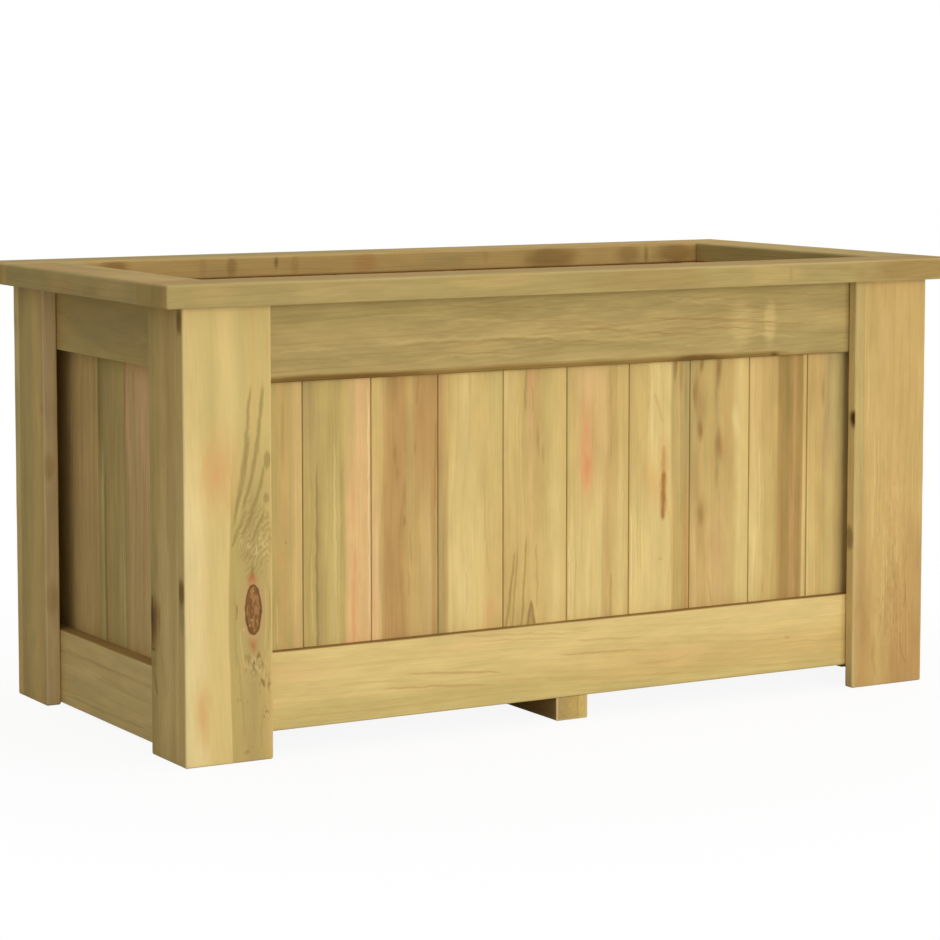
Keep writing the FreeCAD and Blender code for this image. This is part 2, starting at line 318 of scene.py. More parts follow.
finish = {
    "ringTint": (0.74, 0.63, 0.47, 1.0), "endTint": (0.94, 0.89, 0.80, 1.0),
    "hairTint": (0.66, 0.57, 0.44, 1.0), "seedStep": (137.0, 911.0, 53.0), "swayShare": 0.6, "pithShare": 0.3,
    "pithDepth": 70.0, "farRagged": (0.06, 0.008, 0.02), "farRaggedShare": 0.8, "facing": (0.6, 0.95),
    "edgeCore": 0.3, "blotchRange": (0.42, 0.72), "fibreRange": (0.25, 0.75), "speckCore": 0.3,
    "speckLength": 0.4, "speckDepth": 0.2, "speckRange": (0.51, 0.64), "highlightWearRange": (0.05, 0.5),
    "highlightWearPatches": (0.3, 0.7, 0.4, 1.0), "seamRange": (0.45, 0.8), "rough": (0.68, 0.88), "specular": 0.08,
    "ringHeight": 0.6, "bump": 0.22, "bumpDepth": 0.3 * mm,
}


def bandRamp(tree, share, bands, low, high):
    # colour bands across a board: each stop is (place in millimetres, tone)
    ramp = addNode(tree, "ShaderNodeValToRGB", (share,))
    stops = ramp.color_ramp.elements
    for count, (place, tone) in enumerate(bands):
        position = min(max((place - low) / (high - low), 0.0), 1.0)
        stop = stops[count] if count < 2 else stops.new(position)
        stop.position = position
        stop.color = toneColour(tone)
    return ramp.outputs[0]


def boardFrame(box, axes):
    # low and high corner of a box as (across, along, depth), in millimetres
    order = [axisIndex[letter] for letter in axes]
    low, high = (np.array(corner)[order] / mm for corner in box)
    return low, high


lineSpread = {"start": (0, 0.5), "across": (-2, 2), "bend": (-1.5, 1.5)}


def fineLines(lines, seed):
    # strokes drawn at random over a part of a board, each falling by the same share of its length
    s = lineSpread
    draw = np.random.default_rng(seed)
    count = lines["count"]
    start = draw.uniform(*lines["along"], count) - draw.uniform(*s["start"], count) * lines["length"][0]
    across = np.linspace(*lines["across"], count) + draw.uniform(*s["across"], count)
    length = draw.uniform(*lines["length"], count)
    drop = lines["fall"] * length
    bend = draw.uniform(*s["bend"], count)
    width = draw.uniform(*lines["width"], count)
    strength = draw.uniform(*lines["strength"], count)
    rows = [across, start, across - drop / 2 + bend, across - drop, start + length, width, strength]
    return [(*row[:6], lines["tone"], row[6], lines["shake"]) for row in np.stack(rows, -1).tolist()]


def spotMask(tree, place, centre, half, core, turn=0.0):
    # one soft spot: its centre and half sizes in millimetres, its turn in degrees
    terms = {"Place": place, "Centre": centre, "Size": half, "Turn": math.radians(turn), "Core": core}
    return groupNode(tree, spotGroup, terms).outputs[0]


def bandColour(tree, s, low, high, place, seeded, swayed):
    # the near bands, turning into the far bands over a ragged stretch of the length
    across = calc(tree, "SUBTRACT", parts(tree, swayed)[0], float(low))
    share = calc(tree, "DIVIDE", across, float(high - low))
    colour = bandRamp(tree, share, s["bands"], low, high)
    if s["farBands"]:
        along = parts(tree, place)[1]
        ragged = centredNoise(tree, seeded, finish["farRagged"])
        blur = abs(s["turnover"][1] - s["turnover"][0]) * finish["farRaggedShare"]
        along = calc(tree, "MULTIPLY_ADD", ragged, blur, along)
        far = bandRamp(tree, share, s["farBands"], low, high)
        colour = mixColour(tree, smooth(tree, along, *s["turnover"]), colour, far)
    return colour


def edgeColour(tree, colour, s, low, high, place, facing):
    # tones and soft spots on the edge that faces the low side (-1) or the high side (1)
    def facingSide(sign, strength):
        return smooth(tree, calc(tree, "MULTIPLY", facing, sign), *finish["facing"], 0.0, strength)

    for sign, tone, strength in s["edgeTones"]:
        colour = mixColour(tree, facingSide(sign, strength), colour, toneColour(tone))
    for sign, depth, along, halfDepth, halfAlong, tone, strength in s["edgeSpots"]:
        centre = (low if sign < 0 else high, along, depth)
        mask = spotMask(tree, place, centre, (endless, halfAlong, halfDepth), finish["edgeCore"])
        colour = laidOver(tree, colour, mask, facingSide(sign, strength), tone)
    return colour


def grainColour(tree, colour, s, grain):
    # blotches, then year rings, fibres, cloudy patches and hair lines darken the bands
    blotchTone, blotchShare = s["blotch"]
    blotch = smooth(tree, grain["Blotch"], *finish["blotchRange"], 0.0, blotchShare)
    colour = mixColour(tree, blotch, colour, toneColour(blotchTone))
    ring = calc(tree, "MULTIPLY", grain["Ring"], s["ringDepth"])
    colour = mixColour(tree, ring, colour, finish["ringTint"], "MULTIPLY")
    for label, depth in (("Fibre", s["fibre"]), ("Mottle", s["mottle"])):
        shade = smooth(tree, grain[label], *finish["fibreRange"], 1.0 - depth / 2, 1.0 + depth / 2)
        colour = scaledBy(tree, colour, shade)
    hair = calc(tree, "MULTIPLY", grain["Hair"], s["hair"])
    return mixColour(tree, hair, colour, finish["hairTint"], "MULTIPLY")


def markColour(tree, colour, s, place, swayed, depth):
    # soft spots, grain strokes, curled lines and specks, laid over one another in that order
    for across, along, halfAcross, halfAlong, tone, strength, *rest in s["spots"]:
        turn, core = [*rest, 0.0, 0.0][:2]
        mask = spotMask(tree, swayed, (across, along, depth), (halfAcross, halfAlong, endless), core, turn)
        colour = laidOver(tree, colour, mask, strength, tone)
    k = strokeSettings
    ragged = centredNoise(tree, swayed, k["ragged"])
    wiggle = centredNoise(tree, swayed, k["wiggle"])
    for stroke in s["strokes"] + (fineLines(s["lines"], s["seed"]) if s["lines"] else []):
        startAcross, startAlong, middleAcross, endAcross, endAlong, width, tone, strength, *shake = stroke
        mask = groupNode(tree, strokeGroup, {
            "Place": swayed, "Start": (startAcross, startAlong, 0.0), "End": (endAcross, endAlong, 0.0),
            "Middle": middleAcross, "Width": width * k["widthShare"], "Ragged": ragged,
            "Wiggle": calc(tree, "MULTIPLY", wiggle, shake[0] if shake else k["shake"])}).outputs[0]
        colour = laidOver(tree, colour, mask, strength * k["strengthShare"], tone)
    for across, along, halfAcross, halfAlong, peak, slope, spacing, wave, tone, strength in s["curls"]:
        half = (halfAcross, halfAlong, endless)
        mask = spotMask(tree, swayed, (across, along, depth), half, curlSettings["core"])
        line = groupNode(tree, curlGroup, {
            "Place": swayed, "Peak": peak, "Slope": slope, "Spacing": spacing, "Wave": wave}).outputs[0]
        colour = laidOver(tree, colour, calc(tree, "MULTIPLY", mask, line), strength, tone)
    for across, along, halfAcross, halfAlong, size, tone, strength, *long in s["specks"]:
        half = (halfAcross, halfAlong, endless)
        mask = spotMask(tree, swayed, (across, along, depth), half, finish["speckCore"])
        length = long[0] if long else finish["speckLength"]
        stretch = (1 / size, length / size, finish["speckDepth"] / size)
        grit = smooth(tree, noise(tree, place, stretch), *finish["speckRange"])
        colour = laidOver(tree, colour, calc(tree, "MULTIPLY", mask, grit), strength, tone)
    return colour


def knotColour(tree, colour, knots, flows):
    # by the depth inside the oval: a halo round it, a dark rim, and a heart with marks and flecks
    k = knotSettings
    for knot, flow in zip(knots, flows):
        rimTone, heartTone, haloTone = knot[4:]
        depth = flow["Depth"]
        colour = mixColour(tree, smooth(tree, depth, *k["halo"]), colour, toneColour(haloTone))
        heart = laidOver(tree, toneColour(heartTone), flow["Mark"], k["markShare"], rimTone)
        heart = laidOver(tree, heart, flow["Fleck"], k["fleckShare"], k["fleckTone"])
        heart = mixColour(tree, smooth(tree, depth, *k["rimDepth"]), toneColour(rimTone), heart)
        colour = mixColour(tree, smooth(tree, depth, *k["edge"]), colour, heart)
    return colour


def arrisWearAndPaintedLight(tree, colour, s, low, high, place, blotch):
    # beyond = how far into the arris a place is, 0 to 1 on each axis; pale where two of them meet, partly
    # wear and partly painted highlight on the rounded arris
    half = (high - low) / 2 - s["arris"]
    beyond = vectorCalc(tree, "ABSOLUTE", vectorCalc(tree, "SUBTRACT", place, tuple((low + high) / 2)))
    beyond = vectorCalc(tree, "MAXIMUM", vectorCalc(tree, "SUBTRACT", beyond, tuple(half)), (0, 0, 0))
    beyond = parts(tree, scaledBy(tree, beyond, 1 / s["arris"]))
    edge = calc(tree, "MULTIPLY", beyond[0], beyond[2])
    edge = calc(tree, "MULTIPLY_ADD", beyond[0], beyond[1], edge)
    edge = calc(tree, "MULTIPLY_ADD", beyond[1], beyond[2], edge)
    patches = smooth(tree, edge, *finish["highlightWearRange"]), smooth(tree, blotch, *finish["highlightWearPatches"])
    colour = laidOver(tree, colour, calc(tree, "MULTIPLY", *patches), s["arrisHighlightAndWear"], "pale")
    # in the slats' vee seams the colour darkens to umber: painted shade in the grooves
    if s["seamPaintedShade"]:
        sunk = smooth(tree, beyond[0], *finish["seamRange"], 0.0, s["seamPaintedShade"])
        colour = mixColour(tree, sunk, colour, toneColour("umber"))
    return colour


def pineMaterial(name, box, axes, look):
    # the place on the board is bent round its knots, shifted by its seed for the grain, and swayed for its
    # bands and marks; the colour then builds up from the bands to the arrises, pale with wear and painted
    # highlight, and to painted shade in the seams
    s = {**plainLook, **look}
    low, high = boardFrame(box, axes)
    middle = (low + high) / 2
    material, tree = newMaterial(name)
    point = parts(tree, tree.nodes.new("ShaderNodeTexCoord").outputs["Object"])
    ordered = [point[axisIndex[letter]] for letter in axes]
    place = scaledBy(tree, addNode(tree, "ShaderNodeCombineXYZ", ordered).outputs[0], 1 / mm)
    bent = place
    flows = []
    for knot in s["knots"]:
        across, along, halfAcross, halfAlong = knot[:4]
        flow = groupNode(tree, knotGroup, {
            "Place": bent, "Centre": (across, along, middle[2]), "Size": (halfAcross, halfAlong, endless),
            "Bend": knotSettings["bend"]}).outputs
        bent = flow["Place"]
        flows.append(flow)
    shift = [step * s["seed"] for step in finish["seedStep"]]
    seeded = vectorCalc(tree, "ADD", bent, shift)
    stretch = s["wanderStretch"]
    slow = stretch * finish["swayShare"]
    sway = calc(tree, "MULTIPLY", centredNoise(tree, seeded, (slow, stretch, slow)), s["wander"] * 2)
    sideways = addNode(tree, "ShaderNodeCombineXYZ", (sway, 0.0, 0.0)).outputs[0]
    swayed = vectorCalc(tree, "ADD", bent, sideways)
    colour = bandColour(tree, s, low[0], high[0], place, seeded, swayed)
    normal = parts(tree, tree.nodes.new("ShaderNodeNewGeometry").outputs["Normal"])
    colour = edgeColour(tree, colour, s, low[0], high[0], place, normal[axisIndex[axes[0]]])
    aside = finish["pithShare"] * (high[0] - low[0])
    pith = s["pith"] or (middle[0] + aside, middle[2] + finish["pithDepth"])
    grain = groupNode(tree, grainGroup, {
        "Place": seeded, "Pith": (pith[0] + shift[0], 0.0, pith[1] + shift[2]),
        "Lean": (s["lean"][0], 0.0, s["lean"][1]), "Spacing": s["spacing"], "Drift": s["drift"]}).outputs
    colour = grainColour(tree, colour, s, grain)
    colour = markColour(tree, colour, s, place, swayed, middle[2])
    colour = knotColour(tree, colour, s["knots"], flows)
    endFace = smooth(tree, calc(tree, "ABSOLUTE", normal[axisIndex[axes[1]]]), *finish["facing"])
    colour = mixColour(tree, endFace, colour, finish["endTint"], "MULTIPLY")
    colour = arrisWearAndPaintedLight(tree, colour, s, low, high, place, grain["Blotch"])
    rough = smooth(tree, grain["Fibre"], *finish["fibreRange"], *finish["rough"])
    height = calc(tree, "MULTIPLY_ADD", grain["Ring"], finish["ringHeight"], grain["Fibre"])
    bump = addNode(tree, "ShaderNodeBump", {
        "Strength": finish["bump"], "Distance": finish["bumpDepth"], "Height": height}).outputs[0]
    shader = addNode(tree, "ShaderNodeBsdfPrincipled", {
        "Base Color": colour, "Roughness": rough, "Specular IOR Level": finish["specular"], "Normal": bump})
    tree.links.new(shader.outputs[0], tree.nodes.new("ShaderNodeOutputMaterial").inputs["Surface"])
    return material


# boards that the view hides: what their bands, rings and marks are drawn from
hiddenBoards = {
    "families": [["straw", "yellowTan", "tan", "khaki"], ["tan", "pinkTan", "brown", "yellowTan"],
                 ["khaki", "oliveTan", "tan", "straw"], ["peach", "yellowTan", "straw", "tan"]],
    "stops": 7, "turnover": 0.2, "pithAcross": (-0.4, 1.4), "pithDepth": (-90, 90), "spacing": (4.5, 8),
    "ringDepth": (0.25, 0.55), "leanAcross": (-0.03, 0.03), "leanDepth": (-0.06, 0.06), "spots": 4,
    "spotShare": (0.08, 0.92), "spotAcross": (1.5, 6), "spotAlong": (20, 70), "spotStrength": 0.35,
    "spotTones": ["olive", "brown", "salmon", "umber"], "strokes": 4, "strokeShare": (0.05, 0.95),
    "strokeBend": (-0.05, 0.05), "strokeWidth": (1.0, 2.2), "strokeStrength": 0.5,
    "strokeTones": ["olive", "brown", "moss", "straw"], "knotChance": 0.25, "knotShare": (0.25, 0.75),
    "knotSize": (4, 8), "knotLength": (1.3, 2.6), "knotTones": ("knotRim", "knotHeart", "pinkTan"),
}


def seededLook(seed, low, high, length):
    # bands, rings and a few marks drawn from the seed, placed by shares of the board's width and length
    s = hiddenBoards
    draw = np.random.default_rng(seed)
    family = s["families"][draw.integers(len(s["families"]))]
    width, start, span = high - low, length[0], length[1] - length[0]

    def across(share):
        return low + width * share

    def along(share):
        return start + span * share

    places = np.sort(draw.uniform(low, high, s["stops"]))
    inside = [(place, family[draw.integers(len(family))]) for place in places]
    bands = [(low, family[0]), *inside, (high, family[1])]
    far = [(place, family[draw.integers(len(family))]) for place, tone in bands]
    look = {"bands": bands, "farBands": far, "turnover": (along(s["turnover"]), length[1]),
            "pith": (across(draw.uniform(*s["pithAcross"])), draw.uniform(*s["pithDepth"])),
            "spacing": draw.uniform(*s["spacing"]), "ringDepth": draw.uniform(*s["ringDepth"]),
            "lean": (draw.uniform(*s["leanAcross"]), draw.uniform(*s["leanDepth"])), "seed": int(seed)}
    look["spots"] = [(across(a), along(b), draw.uniform(*s["spotAcross"]), draw.uniform(*s["spotAlong"]),
                      str(draw.choice(s["spotTones"])), s["spotStrength"])
                     for a, b in draw.uniform(*s["spotShare"], (s["spots"], 2))]
    look["strokes"] = [(across(a), along(b), across(a + draw.uniform(*s["strokeBend"])),
                        across(a + draw.uniform(*s["strokeBend"])), along(c), draw.uniform(*s["strokeWidth"]),
                        str(draw.choice(s["strokeTones"])), s["strokeStrength"])
                       for a, b, c in draw.uniform(*s["strokeShare"], (s["strokes"], 3))]
    if draw.random() < s["knotChance"]:
        a, b = draw.uniform(*s["knotShare"], 2)
        size = draw.uniform(*s["knotSize"])
        knot = (across(a), along(b), size, size * draw.uniform(*s["knotLength"]), *s["knotTones"])
        look["knots"] = [knot]
    return look


def addPiece(name, points, faces, material, node):
    # one mesh in the planter's own place, riding on the root body instead of its CAD node
    mesh = bpy.data.meshes.new(name)
    mesh.from_pydata(points.tolist(), [], faces)
    mesh.materials.append(material)
    mesh.shade_smooth()
    mesh.set_sharp_from_angle(angle=sharpAngle)
    mesh.validate()
    piece = bpy.data.objects.new(name, mesh)
    bpy.context.scene.collection.objects.link(piece)
    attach(piece, "root")
    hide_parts(node)
    return piece


def gridFaces(rings, count, start=0):
    # quads between neighbouring closed rings, and one flat cap at each end
    ring, step = np.meshgrid(np.arange(rings - 1), np.arange(count), indexing="ij")
    following = (step + 1) % count
    quads = np.stack([ring * count + step, ring * count + following,
                      (ring + 1) * count + following, (ring + 1) * count + step], -1).reshape(-1, 4) + start
    loop = np.arange(count) + start
    caps = [loop[::-1].tolist(), (loop + (rings - 1) * count).tolist()]
    return quads.tolist() + caps


boardShape = {"arcSteps": 4, "support": 0.7, "ringEvery": 30.0, "leastRadius": 0.1, "arrisWander": 0.22,
              "waves": 5, "waveRange": (1.0, 9.0)}


def boardPoints(low, high, along, arris, seed):
    # a rounded rectangle carried along the board: towards an end its half sizes shrink by arris * (1 - sin)
    # and its corner radius is arris * sin; between the ends the radius wanders by a mean of sines
    s = boardShape
    low, high = np.array(low) / mm, np.array(high) / mm
    first, second, third = along, (along + 1) % 3, (along + 2) % 3
    length = high[first] - low[first]
    turn = np.radians(np.linspace(0, 90, s["arcSteps"] + 1))
    least = s["leastRadius"] * arris
    inset = np.concatenate([[arris + s["support"]], arris * (1 - np.sin(turn)), [0.0]])
    radius = np.concatenate([[least], np.maximum(arris * np.sin(turn), least), [arris]])
    offset = np.concatenate([[0.0], arris * (1 - np.cos(turn)), [arris + s["support"]]])
    rings = max(int(length / s["ringEvery"]), 2)
    inner = np.linspace(0, 1, rings + 1)[1:-1]
    draw = np.random.default_rng(seed)
    waves = draw.uniform(*s["waveRange"], s["waves"])
    phases = draw.uniform(0, 2 * np.pi, s["waves"])
    wobble = np.sin(inner[:, None] * waves * 2 * np.pi + phases).mean(axis=1)
    station = np.concatenate([offset, arris + inner * (length - 2 * arris), length - offset[::-1]])
    insets = np.concatenate([inset, np.zeros(len(inner)), inset[::-1]])
    radii = np.concatenate([radius, arris * (1 + s["arrisWander"] * wobble), radius[::-1]])
    corner = np.repeat([[1, 1], [-1, 1], [-1, -1], [1, -1]], s["arcSteps"] + 3, axis=0)
    quarter = np.concatenate([[0], turn, [np.pi / 2]])
    angle = np.concatenate([count * np.pi / 2 + quarter for count in range(4)])
    side = np.tile(np.concatenate([[-1], np.zeros(s["arcSteps"] + 1), [1]]), 4)
    halfSecond = (high[second] - low[second]) / 2 - insets[:, None]
    halfThird = (high[third] - low[third]) / 2 - insets[:, None]
    reach = radii[:, None]
    cosine, sine = np.cos(angle), np.sin(angle)
    across = corner[:, 0] * (halfSecond - reach) + cosine * reach - sine * side * s["support"]
    upward = corner[:, 1] * (halfThird - reach) + sine * reach + cosine * side * s["support"]
    points = np.zeros((*across.shape, 3))
    points[..., first] = low[first] + station[:, None]
    points[..., second] = (low[second] + high[second]) / 2 + across
    points[..., third] = (low[third] + high[third]) / 2 + upward
    return points * mm


def pieceName(node):
    # a node's words run together: rim_front_board gives rimFrontBoard
    words = node.split("_")
    return words[0] + "".join(word.capitalize() for word in words[1:])


def addBoard(node, axes, arris, look, seed):
    # a board that fills its node's box
    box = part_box(node)
    name = pieceName(node)
    points = boardPoints(*box, axisIndex[axes[1]], arris, seed)
    material = pineMaterial(name + "Pine", box, axes, look)
    return addPiece(name, points.reshape(-1, 3), gridFaces(*points.shape[:2]), material, node)


def lookFor(looks, node, axes, seed):
    # the look that is written for a node, or one drawn from its seed
    if node in looks:
        return {"seed": seed, **looks[node]}
    low, high = boardFrame(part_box(node), axes)
    return seededLook(seed, low[0], high[0], (low[1], high[1]))


def addBoards(s, boards):
    # boards by node and axes, each with the next seed
    for seed, (node, axes) in enumerate(boards.items(), s["seed"]):
        addBoard(node, axes, s["arris"], lookFor(s["looks"], node, axes, seed), seed)


# rim boards: two long ones run through, two short ones are butted between them
rim = {
    "arris": 2.5, "slot": "rim_timber", "seed": 11,
    "axes": {"rim_front_board": "yxz", "rim_back_board": "yxz", "rim_left_board": "xyz",
             "rim_right_board": "xyz"},
    "looks": {
        "rim_front_board": {
            "bands": [(-252, "tan"), (-238, "oliveTan"), (-220, "olive"), (-200, "brown"), (-179, "brown")],
            "farBands": [(-252, "tan"), (-240, "olive"), (-215, "brown"), (-195, "olive"), (-179, "brown")],
            "turnover": (120, 420), "pith": (-215, 430), "spacing": 3.2, "ringDepth": 0.4,
            "lean": (0.01, 0.012), "drift": 22.0, "arrisHighlightAndWear": 0.1, "edgeTones": [(-1, "olive", 1.0)],
            "spots": [(-195, -500, 26, 9, "oliveTan", 0.9, 0, 0.5)],
            "edgeSpots": [
                (-1, 484, -300, 18, 110, "oliveTan", 0.7), (-1, 488, -130, 10, 80, "tan", 0.4),
                (-1, 486, 80, 22, 120, "umber", 0.3), (-1, 484, 240, 18, 55, "tan", 0.4),
                (-1, 484, 440, 26, 110, "umber", 0.6), (-1, 486, -450, 16, 34, "tan", 0.35),
                (-1, 484, 262, 14, 3, "moss", 0.3), (-1, 490, 330, 6, 30, "umber", 0.3)]},
        "rim_back_board": {
            "bands": [(179, "tan"), (200, "oliveTan"), (252, "olive")],
            "farBands": [(179, "brown"), (200, "tan"), (252, "oliveTan")], "turnover": (-60, 40),
            "pith": (215, 420), "spacing": 3.4, "ringDepth": 0.4, "arrisHighlightAndWear": 0.1,
            "edgeTones": [(-1, "tan", 1.0)],
            "edgeSpots": [
                (-1, 488, -366, 16, 24, "umber", 0.75), (-1, 484, -412, 20, 18, "straw", 0.6),
                (-1, 484, -222, 16, 9, "umber", 0.55), (-1, 488, -164, 12, 5, "bark", 0.55),
                (-1, 484, -140, 18, 7, "brown", 0.7), (-1, 484, -258, 18, 6, "brown", 0.5),
                (-1, 484, -45, 20, 22, "rust", 0.3), (-1, 484, 60, 18, 40, "oliveTan", 0.6),
                (-1, 484, 212, 20, 52, "umber", 0.75), (-1, 484, 326, 20, 24, "umber", 0.55),
                (-1, 484, 352, 18, 5, "moss", 0.7), (-1, 484, 395, 20, 38, "umber", 0.7),
                (-1, 486, 120, 10, 6, "brown", 0.5)]},
        "rim_left_board": {
            "bands": [(-500, "olive"), (-480, "brown"), (-450, "olive"), (-427, "tan")],
            "farBands": [(-500, "oliveTan"), (-470, "tan"), (-427, "oliveTan")], "turnover": (40, -120),
            "pith": (-470, 430), "spacing": 3.2, "ringDepth": 0.4, "arrisHighlightAndWear": 0.1,
            "edgeTones": [(-1, "oliveTan", 1.0)],
            "edgeSpots": [
                (-1, 484, 150, 24, 130, "olive", 0.9), (-1, 480, 20, 12, 50, "brown", 0.45),
                (-1, 484, -120, 20, 60, "tan", 0.5), (-1, 480, -60, 8, 30, "umber", 0.3)]},
        "rim_right_board": {
            "bands": [(427, "olive"), (440, "khaki"), (465, "oliveTan"), (485, "khaki"), (500, "oliveTan")],
            "farBands": [(427, "oliveTan"), (450, "tan"), (475, "khaki"), (500, "tan")],
            "turnover": (-80, 120), "pith": (465, 430), "spacing": 3.4, "ringDepth": 0.35, "arrisHighlightAndWear": 0.1,
            "edgeTones": [(-1, "olive", 0.8)],
            "spots": [(455, -60, 6, 50, "brown", 0.35), (480, 90, 5, 60, "olive", 0.35)]},
    },
}
addBoards(rim, rim["axes"])
print("rim boards:", len(rim["axes"]))

